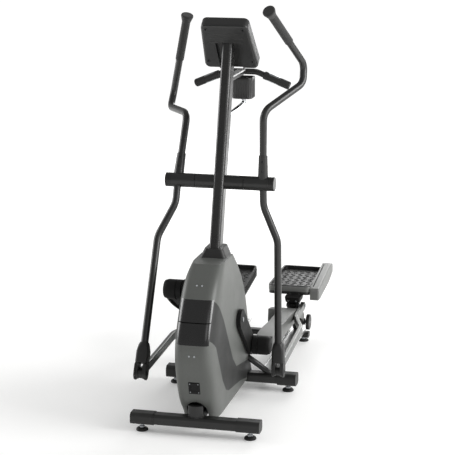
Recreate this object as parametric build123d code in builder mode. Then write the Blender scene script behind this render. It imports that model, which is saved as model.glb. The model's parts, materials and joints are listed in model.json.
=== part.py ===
"""Elliptical trainer with a front drive, swinging handles, roller rails and level pedals.

Millimetres, +Z up. +X is the machine's right as seen from in front of it, +Y runs rearward to the
pedals, and the origin is on the floor in the middle of the whole machine. The right crank stands low
and to the rear, the left one opposite to it, and every linked piece is placed to suit.
"""

import os
from math import asin, atan2, cos, degrees, hypot, radians, sin

from build123d import *

# ---- driving sizes -------------------------------------------------------------------------------
FIT = 0.3  # gap between pieces that move on each other's faces
RUNNING = 0.05  # radial gap of a shaft in its bore
SHEET = 3.0  # wall of moulded shells

FRONT_Y = -814.0  # front stabiliser's centre line
FRONT_HALF = 271.0
MID_Y = FRONT_Y + 631.0  # middle cross bar
MID_HALF = 295.0
REAR_Y = FRONT_Y + 1390.0  # rear cross bar under the rails
REAR_HALF = 205.0
BAR_DEPTH = 60.0  # cross bar tubes, along Y
BAR_HEIGHT = 44.0
BAR_FLOOR_GAP = 34.0  # from the floor to the tubes' undersides
TUBE_WALL = 2.5
CAP_LENGTH = 98.0
CAP_PROUD = 2.5
FOOT_RADIUS = 25.0
FOOT_HEIGHT = 18.0
STUD_RADIUS = 6.0

REAR_BAR_HEIGHT = 26.0
REAR_BAR_DEPTH = 44.0
REAR_BAR_FLOOR_GAP = 20.0
RAIL_THICKNESS = 6.0
RAIL_NEAR, RAIL_FAR = 112.0, 186.0  # across X
RAIL_LIP = 5.0
RAIL_END_Y = FRONT_Y + 1530.0
CARRIER_WIDTH = 40.0

MAST_LEAN = 15.55  # degrees, top rearward
MAST_WIDTH, MAST_DEPTH = 46.0, 74.0
PIVOT_Y, PIVOT_Z = FRONT_Y + 420.3, 970.5  # axis of the swinging handles
PIVOT_TUBE_RADIUS = 30.0
PIVOT_AXLE_RADIUS = 12.5
CENTRE_SLEEVE_HALF = 104.0
HUB_NEAR, HUB_FAR = 106.0, 234.0

CRANK_Y, CRANK_Z = FRONT_Y + 398.0, 383.0
CRANK_RADIUS = 248.0
CRANK_ANGLE = -42.0  # of the right arm, from rearward towards up
CRANK_AXLE_RADIUS = 10.0
ARM_NEAR, ARM_THICKNESS, ARM_END_RADIUS = 88.0, 16.0, 44.0
PULLEY_RADIUS, FLYWHEEL_PULLEY_RADIUS, FLYWHEEL_RADIUS = 140.0, 24.0, 118.0
FLYWHEEL_Y, FLYWHEEL_Z = FRONT_Y + 96.0, 345.0
BELT_NEAR, BELT_WIDTH, BELT_THICKNESS = -68.0, 16.0, 4.0

LINK_LENGTH = 838.0  # crank pin to roller axle
LINK_NEAR, LINK_FAR = 110.0, 184.0  # across X, ahead of the pedal
LINK_WIDE_NEAR = 57.0  # inner side of the wide part under the pedal
LINK_WIDE_START = 540.0  # from the crank pin
LINK_HUB_RADIUS = 42.0
ROLLER_RADIUS = 38.0
ROLLER_AXLE_RADIUS = 7.0
PEDAL_PIVOT_ALONG, PEDAL_PIVOT_UP = 680.0, 97.5  # on the link, from the crank pin
PEDAL_NEAR, PEDAL_FAR = 20.0, 267.0
PEDAL_FORE, PEDAL_AFT = 32.0, 420.0  # either side of the pedal pivot, towards the rear
PEDAL_TILT = {1: 0.0, -1: 8.0}  # degrees, rear end up
TREAD_UP = 70.0  # tread above the pedal pivot

SWING = 15.3  # each handle's swing from upright
HANDLE_RADIUS = 15.5
GRIP_RADIUS = 18.5
SOCKET_RADIUS = 21.0
HANDLE_INNER_X, HANDLE_OUTER_X, HANDLE_WIDE_X, HANDLE_TIP_X = 183.7, 243.9, 313.8, 222.0
LOWER_PATH = [(HANDLE_INNER_X, -14, -99), (HANDLE_OUTER_X, -46, -244), (HANDLE_OUTER_X, -159, -776)]
UPPER_PATH = [
    (HANDLE_INNER_X, 81, 292), (HANDLE_WIDE_X, 282, 339),
    (HANDLE_WIDE_X, 318, 412), (HANDLE_TIP_X, 121, 714),
]
HANDLE_FOOT = (-167.0, -816.0)  # control bar pin, from the pivot axis with the handle upright
CONTROL_BAR_WIDTH, CONTROL_BAR_HEIGHT = 19.0, 36.0
CONTROL_BAR_X, CONTROL_BAR_END_X = 244.0, 196.0
CLEVIS_GAP = 21.0
CLEVIS_PLATE = 7.5

HOUSING_HALF = 84.0
# height, front, rear, half-width, depth of the rounded nose
HOUSING_SECTIONS = [
    (50, 42, 712, 76, 110), (86, 34, 674, 80, 104), (130, 2, 650, 82, 88), (200, -20, 628, 84, 66),
    (280, -46, 604, 84, 66), (350, -60, 580, 84, 82), (440, -40, 542, 84, 96), (530, 10, 488, 83, 98),
    (610, 70, 424, 78, 86), (650, 124, 392, 72, 78), (674, 172, 374, 67, 70),
]
BAND_HALF, BAND_LOW, BAND_SPLIT, BAND_HIGH = 67.0, 394.0, 478.0, 562.0
BAND_SEAM = 1.6  # half the gap between the two lengths of the band
MAST_FOOT_Z = 96.0
SPINE_LOW, SPINE_HIGH, SPINE_HALF = 56.0, 96.0, 30.0

CONSOLE_Y, CONSOLE_Z, CONSOLE_LEAN = FRONT_Y + 552.0, 1519.0, 39.0
CONSOLE_TALL, CONSOLE_TOP_WIDE, CONSOLE_FOOT_WIDE = 254.0, 200.0, 236.0
CONSOLE_REAR_DEPTH, CONSOLE_FACE_DEPTH = 38.0, 14.0
GRIP_BAR_RADIUS = 13.0
GRIP_BAR_Y, GRIP_BAR_Z = FRONT_Y + 818.0, 1386.0
KEY_SIZE = 22.0

# ---- sizes that follow ---------------------------------------------------------------------------
SIDES = {1: "right", -1: "left"}
BAR_TOP = BAR_FLOOR_GAP + BAR_HEIGHT
RAIL_TOP = REAR_BAR_FLOOR_GAP + REAR_BAR_HEIGHT + RAIL_THICKNESS
ROLLER_Z = RAIL_TOP + ROLLER_RADIUS + FIT
ARM_FAR = ARM_NEAR + ARM_THICKNESS
MAST_STEP = (0, sin(radians(MAST_LEAN)), cos(radians(MAST_LEAN)))
os.makedirs("parts", exist_ok=True)


def save(part, name):
    """Label a finished piece and write it as its own file."""
    part.label = name
    export_step(part, f"parts/{name}.step")


def pin_at(side):
    """Crank pin of one side, as (y, z)."""
    angle = radians(CRANK_ANGLE if side > 0 else CRANK_ANGLE + 180)
    return CRANK_Y + CRANK_RADIUS * cos(angle), CRANK_Z + CRANK_RADIUS * sin(angle)


def link_drop(side):
    """Angle in degrees by which the foot link falls from the crank pin to its roller."""
    return degrees(asin((pin_at(side)[1] - ROLLER_Z) / LINK_LENGTH))


def on_link(side, along, up):
    """A point on a foot link as (y, z), from its place along and above the pin-to-roller line."""
    y, z = pin_at(side)
    drop = radians(link_drop(side))
    return y + along * cos(drop) + up * sin(drop), z - along * sin(drop) + up * cos(drop)


def swung(side, x, y, z):
    """A point of an upright handle, measured from the pivot axis, once the handle has swung to rest."""
    angle = radians(side * SWING)
    return (
        side * x,
        PIVOT_Y + y * cos(angle) - z * sin(angle),
        PIVOT_Z + y * sin(angle) + z * cos(angle),
    )


def side_plane(side, near, far, y, z, tilt=0.0):
    """Side-view plane whose +X extrusion by far - near fills near..far on that side."""
    turn = radians(tilt)
    return Plane(origin=(near if side > 0 else -far, y, z), x_dir=(0, cos(turn), sin(turn)), z_dir=(1, 0, 0))


# ---- cross bars and feet -------------------------------------------------------------------------
def cross_bar(name, y, low, depth, height, half):
    """Oval steel tube across the floor, left open at its ends for the caps."""
    with BuildPart() as bar:
        with BuildSketch(Plane.YZ.offset(-half + SHEET)):
            with Locations((y, low + height / 2)):
                RectangleRounded(depth, height, min(depth, height) * 0.3)
                inner_depth, inner_height = depth - 2 * TUBE_WALL, height - 2 * TUBE_WALL
                RectangleRounded(inner_depth, inner_height, min(depth, height) * 0.24, mode=Mode.SUBTRACT)
        extrude(amount=2 * (half - SHEET))
    save(bar.part, name)


cross_bar("front_stabilizer", FRONT_Y, BAR_FLOOR_GAP, BAR_DEPTH, BAR_HEIGHT, FRONT_HALF)
cross_bar("mid_crossbar", MID_Y, BAR_FLOOR_GAP, BAR_DEPTH, BAR_HEIGHT, MID_HALF)
cross_bar("rear_crossbar", REAR_Y, REAR_BAR_FLOOR_GAP, REAR_BAR_DEPTH, REAR_BAR_HEIGHT, REAR_HALF)


def end_caps(y, low, depth, height, half, length, proud):
    """The pair of moulded caps that slide over a cross bar's ends, in the part being built."""
    for side in SIDES:
        start = half - length
        with BuildSketch(side_plane(side, start, half, y, low + height / 2)) as outer:
            RectangleRounded(depth + 2 * proud, height + 2 * proud, min(depth, height) * 0.3 + proud)
        extrude(outer.sketch, amount=length)
        with BuildSketch(side_plane(side, start, half - SHEET, y, low + height / 2)) as socket:
            RectangleRounded(depth, height, min(depth, height) * 0.3)
        extrude(socket.sketch, amount=length - SHEET, mode=Mode.SUBTRACT)


with BuildPart() as front_caps:
    end_caps(FRONT_Y, BAR_FLOOR_GAP, BAR_DEPTH, BAR_HEIGHT, FRONT_HALF, CAP_LENGTH, CAP_PROUD)
save(front_caps.part, "front_stabilizer_caps")

with BuildPart() as rear_caps:
    end_caps(MID_Y, BAR_FLOOR_GAP, BAR_DEPTH, BAR_HEIGHT, MID_HALF, CAP_LENGTH * 0.85, CAP_PROUD * 2)
    end_caps(REAR_Y, REAR_BAR_FLOOR_GAP, REAR_BAR_DEPTH, REAR_BAR_HEIGHT, REAR_HALF, 16.0, 0.0 + FIT)
save(rear_caps.part, "crossbar_caps")

FEET = [
    (FRONT_HALF - 43.0, FRONT_Y, BAR_FLOOR_GAP - CAP_PROUD),
    (MID_HALF - 39.0, MID_Y, BAR_FLOOR_GAP - CAP_PROUD * 2),
    (REAR_HALF - 27.0, REAR_Y, REAR_BAR_FLOOR_GAP),
]
with BuildPart() as feet:
    for foot_x, foot_y, top in FEET:
        with Locations((foot_x, foot_y, 0), (-foot_x, foot_y, 0)):
            Cylinder(FOOT_RADIUS, min(FOOT_HEIGHT, top - 4.0), align=(Align.CENTER, Align.CENTER, Align.MIN))
            Cylinder(STUD_RADIUS * 1.6, top, align=(Align.CENTER, Align.CENTER, Align.MIN))
save(feet.part, "levelling_feet")

# ---- welded main frame ---------------------------------------------------------------------------
POST_WIDE, POST_DEEP = 62.0, 46.0
POST_TOP = 126.0
NOTCH_TOP, NOTCH_WIDE = 140.0, 86.0  # arch in the shells round the post
BEARING_SHELL_RADIUS, BEARING_RADIUS, BEARING_WIDTH, SHELL_HALF = 30.0, 21.0, 14.0, 40.0
BRACE_RADIUS = 13.0
GUSSET_TOP = 222.0
MAST_FOOT_Y = PIVOT_Y - (PIVOT_Z - MAST_FOOT_Z) * MAST_STEP[1] / MAST_STEP[2]
FLYWHEEL_PLATE_NEAR, FLYWHEEL_PLATE = -24.0, 8.0
FLYWHEEL_AXLE_RADIUS = 8.0
BRAKE_PIN_RADIUS = 5.0
IDLER_RADIUS, IDLER_ALONG = 22.0, 150.0
BRAKE_GAP, SHOE_DEPTH, SHOE_ARC, SHOE_START = 3.0, 16.0, 64.0, 60.0
BRAKE_REACH, BRAKE_ANGLE = FLYWHEEL_RADIUS + BRAKE_GAP + SHOE_DEPTH + 4, radians(SHOE_START + 6)
BRAKE_PIVOT = (FLYWHEEL_Y + BRAKE_REACH * cos(BRAKE_ANGLE), FLYWHEEL_Z + BRAKE_REACH * sin(BRAKE_ANGLE))
BELT_SPAN = hypot(CRANK_Y - FLYWHEEL_Y, CRANK_Z - FLYWHEEL_Z)
BELT_RISE = atan2(CRANK_Z - FLYWHEEL_Z, CRANK_Y - FLYWHEEL_Y)
BELT_LEAN = asin((PULLEY_RADIUS - FLYWHEEL_PULLEY_RADIUS) / BELT_SPAN)
# the idler presses on the belt's lower run from below
LOWER_RUN = BELT_RISE - BELT_LEAN
IDLER_DROP = FLYWHEEL_PULLEY_RADIUS + BELT_THICKNESS + 2 * FIT + IDLER_RADIUS
IDLER_Y = FLYWHEEL_Y + IDLER_ALONG * cos(LOWER_RUN) + IDLER_DROP * sin(LOWER_RUN)
IDLER_Z = FLYWHEEL_Z + IDLER_ALONG * sin(LOWER_RUN) - IDLER_DROP * cos(LOWER_RUN)

with BuildPart() as main_frame:
    with BuildSketch(Plane.XZ.offset(-(FRONT_Y + 14.0))):
        with Locations((0, (SPINE_LOW + SPINE_HIGH) / 2)):
            RectangleRounded(2 * SPINE_HALF, SPINE_HIGH - SPINE_LOW, 8)
    extrude(amount=-(MID_Y - BAR_DEPTH / 2 - FRONT_Y - 14.0))
    # oval post that stands on the front stabiliser
    with BuildSketch(Plane.XY.offset(BAR_TOP)):
        with Locations((0, FRONT_Y)):
            Ellipse(POST_WIDE / 2, POST_DEEP / 2)
    extrude(amount=POST_TOP - BAR_TOP)
    with BuildSketch(Plane.XY.offset(SPINE_LOW + 4)):
        with Locations((0, FRONT_Y + 30)):
            Rectangle(2 * SPINE_HALF - 10, 50)
    extrude(amount=POST_TOP - SPINE_LOW - 14)
    # cut back so the post rests on the stabiliser
    with Locations((0, FRONT_Y, BAR_TOP)):
        Box(2 * FRONT_HALF, BAR_DEPTH + 1, 80, align=(Align.CENTER, Align.CENTER, Align.MAX), mode=Mode.SUBTRACT)
    # crank bearing shell on its upright
    with BuildSketch(Plane.XY.offset(SPINE_HIGH - 2)):
        with Locations((0, CRANK_Y)):
            Rectangle(40, 44)
    extrude(amount=CRANK_Z - SPINE_HIGH)
    with BuildSketch(Plane.YZ.offset(-SHELL_HALF)):
        with Locations((CRANK_Y, CRANK_Z)):
            Circle(BEARING_SHELL_RADIUS)
    extrude(amount=2 * SHELL_HALF)
    with BuildSketch(Plane.YZ.offset(-SHELL_HALF)):
        with Locations((CRANK_Y, CRANK_Z)):
            Circle(BEARING_RADIUS)
    extrude(amount=2 * SHELL_HALF, mode=Mode.SUBTRACT)
    # rear gusset and the two braces that come down to the middle cross bar
    with BuildSketch(Plane.YZ.offset(-15)):
        with BuildLine():
            Polyline(
                (MID_Y - 130, SPINE_HIGH - 2), (MID_Y - BAR_DEPTH / 2, SPINE_HIGH - 2),
                (MID_Y - BAR_DEPTH / 2, 180), (MID_Y - 36, GUSSET_TOP), (MID_Y - 62, GUSSET_TOP), close=True,
            )
        make_face()
    extrude(amount=30)
    for side in SIDES:
        brace_start = Vector(side * 6, MID_Y - 44, GUSSET_TOP - 12)
        brace_end = Vector(side * 178, MID_Y, BAR_TOP - 6)
        with BuildSketch(Plane(origin=brace_start, z_dir=brace_end - brace_start)) as brace:
            Circle(BRACE_RADIUS)
        extrude(brace.sketch, amount=(brace_end - brace_start).length)
    with Locations((0, MID_Y, BAR_TOP)):
        Box(2 * MID_HALF + 4, BAR_DEPTH + 0.01, 60, align=(Align.CENTER, Align.CENTER, Align.MAX), mode=Mode.SUBTRACT)
    # plate with the flywheel's stub axle, welded beside the mast foot
    with BuildSketch(Plane.YZ.offset(FLYWHEEL_PLATE_NEAR - FLYWHEEL_PLATE)):
        with BuildLine():
            Polyline(
                (MAST_FOOT_Y - 60, SPINE_HIGH - 10), (MAST_FOOT_Y + 30, SPINE_HIGH - 10), (IDLER_Y + 20, IDLER_Z - 12),
                (IDLER_Y + 6, IDLER_Z + 40), (BRAKE_PIVOT[0] + 40, BRAKE_PIVOT[1] + 32),
                (BRAKE_PIVOT[0] - 20, BRAKE_PIVOT[1] + 32), (FLYWHEEL_Y - 24, FLYWHEEL_Z - 10), close=True,
            )
        make_face()
    extrude(amount=FLYWHEEL_PLATE)
    with BuildSketch(Plane.YZ.offset(FLYWHEEL_PLATE_NEAR)):
        with Locations((FLYWHEEL_Y, FLYWHEEL_Z)):
            Circle(FLYWHEEL_AXLE_RADIUS)
    extrude(amount=-(FLYWHEEL_PLATE + 48))
    with BuildSketch(Plane.YZ.offset(FLYWHEEL_PLATE_NEAR)):
        with Locations(BRAKE_PIVOT):
            Circle(BRAKE_PIN_RADIUS + RUNNING)
    extrude(amount=-FLYWHEEL_PLATE, mode=Mode.SUBTRACT)
    # idler's stub axle, held by the same plate
    with BuildSketch(Plane.YZ.offset(FLYWHEEL_PLATE_NEAR)):
        with Locations((IDLER_Y, IDLER_Z)):
            Circle(6)
    extrude(amount=-(FLYWHEEL_PLATE + 42))
save(main_frame.part, "main_frame")

with BuildPart() as carriers:
    for side in SIDES:
        middle = side * (RAIL_NEAR + RAIL_FAR) / 2
        with BuildSketch(Plane.XZ.offset(-(MID_Y + BAR_DEPTH / 2 + CAP_PROUD * 2))):
            with Locations((middle, REAR_BAR_FLOOR_GAP + REAR_BAR_HEIGHT / 2)):
                RectangleRounded(CARRIER_WIDTH, REAR_BAR_HEIGHT, 4)
        extrude(amount=-(REAR_Y - REAR_BAR_DEPTH / 2 - MID_Y - BAR_DEPTH / 2 - CAP_PROUD * 2))
save(carriers.part, "rail_carriers")

with BuildPart() as rails:
    for side in SIDES:
        middle = side * (RAIL_NEAR + RAIL_FAR) / 2
        start = MID_Y + BAR_DEPTH / 2 + CAP_PROUD * 2
        with BuildSketch(Plane.XZ.offset(-start)):
            with Locations((middle, RAIL_TOP - RAIL_THICKNESS / 2)):
                Rectangle(RAIL_FAR - RAIL_NEAR, RAIL_THICKNESS)
            for edge in (RAIL_NEAR + 1.5, RAIL_FAR - 1.5):
                with Locations((side * edge, RAIL_TOP - RAIL_THICKNESS / 2 + RAIL_LIP / 2)):
                    Rectangle(3, RAIL_THICKNESS + RAIL_LIP)
        extrude(amount=-(RAIL_END_Y - start))
save(rails.part, "roller_rails")

# ---- mast, pivot tube and collar -----------------------------------------------------------------
console_turn = radians(CONSOLE_LEAN)
CONSOLE_OUT = (0, cos(console_turn), sin(console_turn))
POCKET = 12.0
CONSOLE_BACK = Plane(origin=(0, CONSOLE_Y, CONSOLE_Z), x_dir=(-1, 0, 0), z_dir=CONSOLE_OUT)
MAST_PLANE = Plane(origin=(0, MAST_FOOT_Y, MAST_FOOT_Z), x_dir=(1, 0, 0), z_dir=MAST_STEP)
with BuildPart() as mast:
    with BuildSketch(MAST_PLANE.offset(-30)):
        RectangleRounded(MAST_WIDTH, MAST_DEPTH, 16)
    extrude(amount=1560)
    with BuildSketch(MAST_PLANE.offset(-30)):
        RectangleRounded(MAST_WIDTH - 2 * TUBE_WALL, MAST_DEPTH - 2 * TUBE_WALL, 13.5)
    extrude(amount=1560, mode=Mode.SUBTRACT)
    with Locations((0, MAST_FOOT_Y, MAST_FOOT_Z)):
        Box(200, 300, 90, align=(Align.CENTER, Align.CENTER, Align.MAX), mode=Mode.SUBTRACT)
    split(bisect_by=CONSOLE_BACK.offset(POCKET), keep=Keep.BOTTOM)
    with BuildSketch(Plane.YZ.offset(-MAST_WIDTH)):
        with Locations((PIVOT_Y, PIVOT_Z)):
            Circle(PIVOT_TUBE_RADIUS + RUNNING)
    extrude(amount=2 * MAST_WIDTH, mode=Mode.SUBTRACT)
save(mast.part, "mast")

with BuildPart() as pivot_sleeve:
    with BuildSketch(Plane.YZ.offset(-CENTRE_SLEEVE_HALF)):
        with Locations((PIVOT_Y, PIVOT_Z)):
            Circle(PIVOT_TUBE_RADIUS)
            Circle(PIVOT_AXLE_RADIUS + RUNNING, mode=Mode.SUBTRACT)
    extrude(amount=2 * CENTRE_SLEEVE_HALF)
save(pivot_sleeve.part, "pivot_sleeve")

with BuildPart() as pivot_axle:
    with BuildSketch(Plane.YZ.offset(-HUB_FAR + 10)):
        with Locations((PIVOT_Y, PIVOT_Z)):
            Circle(PIVOT_AXLE_RADIUS)
    extrude(amount=2 * (HUB_FAR - 10))
save(pivot_axle.part, "pivot_axle")

HOUSING_TOP = HOUSING_SECTIONS[-1][0]
COLLAR_Y = PIVOT_Y - (PIVOT_Z - HOUSING_TOP) * MAST_STEP[1] / MAST_STEP[2]
COLLAR_BASE = Plane(origin=(0, COLLAR_Y, HOUSING_TOP), x_dir=(1, 0, 0), z_dir=(0, 0, 1))
with BuildPart() as collar:
    with BuildSketch(COLLAR_BASE):
        RectangleRounded(112, 116, 18)
    with BuildSketch(COLLAR_BASE.offset(36)):
        with Locations((0, 10)):
            RectangleRounded(78, 104, 16)
    loft()
    with BuildSketch(MAST_PLANE.offset(400)):
        RectangleRounded(MAST_WIDTH + 2 * FIT, MAST_DEPTH + 2 * FIT, 16 + FIT)
    extrude(amount=500, mode=Mode.SUBTRACT)
save(collar.part, "mast_collar")


# ---- housing shells ------------------------------------------------------------------------------
def housing_body(inset):
    """Smooth drive housing through its plan sections, drawn in by inset on every side."""
    with BuildPart() as body:
        for index, (height, front, rear, half, nose) in enumerate(HOUSING_SECTIONS):
            level = height
            if index == 0:
                level += inset
            if index == len(HOUSING_SECTIONS) - 1:
                level -= inset
            front_y, rear_y, side_x = FRONT_Y + front + inset, FRONT_Y + rear - inset, half - inset
            with BuildSketch(Plane.XY.offset(level)):
                with BuildLine():
                    flat, bow, shoulder = 0.42 * side_x, 0.86 * side_x, front_y + 0.35 * nose
                    Line((-flat, front_y), (flat, front_y))
                    Bezier((flat, front_y), (bow, front_y), (side_x, shoulder), (side_x, front_y + nose))
                    Line((side_x, front_y + nose), (side_x, rear_y - 14))
                    Bezier((side_x, rear_y - 14), (side_x, rear_y), (side_x, rear_y), (side_x - 14, rear_y))
                    Line((side_x - 14, rear_y), (-side_x + 14, rear_y))
                    Bezier((-side_x + 14, rear_y), (-side_x, rear_y), (-side_x, rear_y), (-side_x, rear_y - 14))
                    Line((-side_x, rear_y - 14), (-side_x, front_y + nose))
                    Bezier((-side_x, front_y + nose), (-side_x, shoulder), (-bow, front_y), (-flat, front_y))
                make_face()
        loft()
    return body.part


SWEEP_PANEL = [  # outline of the dark side panel, behind the front stabiliser and above the floor
    (-120, 423), (-120, 569), (30, 569), (143, 448), (236, 324), (300, 238), (366, 184), (650, 134),
    (760, 60), (710, 36), (450, 92), (236, 118), (184, 137), (120, 198), (68, 280), (10, 372), (-50, 423),
]
CROSSBAR_CUT = 3.0
SCREW_X, SCREW_RADIUS = 11.0, 3.6
SCREW_LEVELS = [(level, FRONT_Y + front) for level, front, *_ in HOUSING_SECTIONS if level in (350, 610)]
with BuildPart() as shell:
    add(housing_body(0))
    add(housing_body(SHEET), mode=Mode.SUBTRACT)
    # mast opening, crank axle hole, cross bar notch, front notch for the post, brace holes
    with BuildSketch(MAST_PLANE.offset(400)):
        RectangleRounded(MAST_WIDTH + 4, MAST_DEPTH + 4, 18)
    extrude(amount=500, mode=Mode.SUBTRACT)
    with BuildSketch(Plane.YZ.offset(-HOUSING_HALF - 20)):
        with Locations((CRANK_Y, CRANK_Z)):
            Circle(CRANK_AXLE_RADIUS + 6)
    extrude(amount=2 * HOUSING_HALF + 40, mode=Mode.SUBTRACT)
    with Locations((0, MID_Y, 0)):
        Box(300, BAR_DEPTH + 2 * CROSSBAR_CUT, 2 * (BAR_TOP + CROSSBAR_CUT), mode=Mode.SUBTRACT)
    with BuildSketch(Plane.XZ.offset(-(FRONT_Y - 90))):
        with Locations((0, BAR_TOP / 2)):
            SlotOverall(2 * NOTCH_TOP - BAR_TOP, NOTCH_WIDE, rotation=90)
    extrude(amount=-220, mode=Mode.SUBTRACT)
    for level, front_y in SCREW_LEVELS:
        with BuildSketch(Plane.XZ.offset(-(front_y - 6))):
            with Locations((SCREW_X, level), (-SCREW_X, level)):
                Circle(SCREW_RADIUS + RUNNING)
        extrude(amount=-20, mode=Mode.SUBTRACT)
    for side in SIDES:
        brace_start = Vector(side * 6, MID_Y - 44, GUSSET_TOP - 12)
        brace_end = Vector(side * 178, MID_Y, BAR_TOP - 6)
        with BuildSketch(Plane(origin=brace_start, z_dir=brace_end - brace_start)) as brace:
            Circle(BRACE_RADIUS + 2)
        extrude(brace.sketch, amount=(brace_end - brace_start).length, mode=Mode.SUBTRACT)

with BuildPart() as band_zone:
    for low, high in ((BAND_LOW, BAND_SPLIT - BAND_SEAM), (BAND_SPLIT + BAND_SEAM, BAND_HIGH)):
        with Locations((0, FRONT_Y, low)):
            Box(2 * BAND_HALF, 300, high - low, align=(Align.CENTER, Align.CENTER, Align.MIN))
with BuildPart() as panel_zone:
    with BuildSketch(Plane.YZ.offset(-2 * HOUSING_HALF)):
        with BuildLine():
            Polyline(*[(FRONT_Y + y, z) for y, z in SWEEP_PANEL], close=True)
        make_face()
    extrude(amount=4 * HOUSING_HALF)
    with Locations((0, FRONT_Y, 0)):
        Box(2 * (BAND_HALF + FIT), 1600, 2000, mode=Mode.SUBTRACT)
INLET_LOW, INLET_HIGH, INLET_HALF = 178.0, 232.0, 24.0
with BuildPart() as inlet_zone:
    with Locations((0, FRONT_Y - 40, (INLET_LOW + INLET_HIGH) / 2)):
        Box(2 * INLET_HALF, 120, INLET_HIGH - INLET_LOW)

with BuildPart() as front_band:
    add(shell.part)
    add(band_zone.part, mode=Mode.INTERSECT)
save(front_band.part, "front_band")
with BuildPart() as side_panels:
    add(shell.part)
    add(panel_zone.part, mode=Mode.INTERSECT)
save(side_panels.part, "side_panels")
with BuildPart() as inlet_plate:
    add(shell.part)
    add(inlet_zone.part, mode=Mode.INTERSECT)
save(inlet_plate.part, "inlet_plate")
with BuildPart() as band_hole:
    with Locations((0, FRONT_Y, BAND_LOW)):
        Box(2 * BAND_HALF, 300, BAND_HIGH - BAND_LOW, align=(Align.CENTER, Align.CENTER, Align.MIN))
for side, side_name in SIDES.items():
    with BuildPart() as half_shell:
        add(shell.part)
        add(band_hole.part, mode=Mode.SUBTRACT)
        add(panel_zone.part, mode=Mode.SUBTRACT)
        add(inlet_zone.part, mode=Mode.SUBTRACT)
        split(bisect_by=Plane.YZ, keep=Keep.TOP if side > 0 else Keep.BOTTOM)
    save(half_shell.part, f"housing_{side_name}")

with BuildPart() as housing_screws:
    for level, front_y in SCREW_LEVELS:
        with BuildSketch(Plane.XZ.offset(-(front_y - 1.5))):
            with Locations((SCREW_X, level), (-SCREW_X, level)):
                Circle(SCREW_RADIUS)
        extrude(amount=-12)
save(housing_screws.part, "housing_screws")

# ---- drive inside the housing --------------------------------------------------------------------
with BuildPart() as crank_axle:
    with BuildSketch(Plane.YZ.offset(-ARM_FAR)):
        with Locations((CRANK_Y, CRANK_Z)):
            Circle(CRANK_AXLE_RADIUS)
    extrude(amount=2 * ARM_FAR)
    for side in SIDES:
        with BuildSketch(side_plane(side, ARM_FAR, ARM_FAR + 3, CRANK_Y, CRANK_Z)) as bolt:
            RegularPolygon(11, 6)
        extrude(bolt.sketch, amount=3)
save(crank_axle.part, "crank_axle")

with BuildPart() as crank_bearings:
    for side in SIDES:
        with BuildSketch(side_plane(side, SHELL_HALF - BEARING_WIDTH, SHELL_HALF, CRANK_Y, CRANK_Z)) as ring:
            Circle(BEARING_RADIUS - RUNNING)
            Circle(CRANK_AXLE_RADIUS + RUNNING, mode=Mode.SUBTRACT)
        extrude(ring.sketch, amount=BEARING_WIDTH)
save(crank_bearings.part, "crank_bearings")

with BuildPart() as crank_arms:
    for side in SIDES:
        pin_y, pin_z = pin_at(side)
        middle_y, middle_z = (CRANK_Y + pin_y) / 2, (CRANK_Z + pin_z) / 2
        turn = degrees(atan2(pin_z - CRANK_Z, pin_y - CRANK_Y))
        with BuildSketch(side_plane(side, ARM_NEAR, ARM_FAR, middle_y, middle_z, turn)) as arm:
            SlotCenterToCenter(CRANK_RADIUS, 2 * ARM_END_RADIUS)
            with Locations((-CRANK_RADIUS / 2, 0)):
                Circle(CRANK_AXLE_RADIUS + RUNNING, mode=Mode.SUBTRACT)
        extrude(arm.sketch, amount=ARM_THICKNESS)
        with BuildSketch(side_plane(side, ARM_NEAR, ARM_NEAR + 6, middle_y, middle_z, turn)) as web:
            with Locations((CRANK_RADIUS * 0.02, 0)):
                SlotCenterToCenter(CRANK_RADIUS * 0.62, ARM_END_RADIUS)
        extrude(web.sketch, amount=6, mode=Mode.SUBTRACT)
        with BuildSketch(side_plane(side, ARM_FAR, ARM_FAR + 3, pin_y, pin_z)) as head:
            RegularPolygon(13, 6)
        extrude(head.sketch, amount=3)
save(crank_arms.part, "crank_arms")

with BuildPart() as drive_pulley:
    with BuildSketch(Plane.YZ.offset(BELT_NEAR)):
        with Locations((CRANK_Y, CRANK_Z)):
            Circle(PULLEY_RADIUS)
            Circle(CRANK_AXLE_RADIUS + RUNNING, mode=Mode.SUBTRACT)
    extrude(amount=BELT_WIDTH)
    with BuildSketch(Plane.YZ.offset(BELT_NEAR)):
        with Locations((CRANK_Y, CRANK_Z)):
            with PolarLocations(84, 6):
                Circle(27)
    extrude(amount=BELT_WIDTH, mode=Mode.SUBTRACT)
    with BuildSketch(Plane.YZ.offset(BELT_NEAR + BELT_WIDTH)):
        with Locations((CRANK_Y, CRANK_Z)):
            Circle(24)
            Circle(CRANK_AXLE_RADIUS + RUNNING, mode=Mode.SUBTRACT)
    extrude(amount=-SHELL_HALF - 1 - BELT_NEAR - BELT_WIDTH)
save(drive_pulley.part, "drive_pulley")

with BuildPart() as flywheel:
    with BuildSketch(Plane.YZ.offset(BELT_NEAR)):
        with Locations((FLYWHEEL_Y, FLYWHEEL_Z)):
            Circle(FLYWHEEL_PULLEY_RADIUS)
    extrude(amount=BELT_WIDTH)
    with BuildSketch(Plane.YZ.offset(BELT_NEAR + BELT_WIDTH)):
        with Locations((FLYWHEEL_Y, FLYWHEEL_Z)):
            Circle(FLYWHEEL_RADIUS)
    extrude(amount=18)
    with BuildSketch(Plane.YZ.offset(BELT_NEAR + BELT_WIDTH)):
        with Locations((FLYWHEEL_Y, FLYWHEEL_Z)):
            Circle(FLYWHEEL_RADIUS - 26)
            Circle(FLYWHEEL_PULLEY_RADIUS + 10, mode=Mode.SUBTRACT)
    extrude(amount=6, mode=Mode.SUBTRACT)
    with BuildSketch(Plane.YZ.offset(BELT_NEAR)):
        with Locations((FLYWHEEL_Y, FLYWHEEL_Z)):
            Circle(FLYWHEEL_AXLE_RADIUS + RUNNING)
    extrude(amount=60, mode=Mode.SUBTRACT)
save(flywheel.part, "flywheel")

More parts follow.
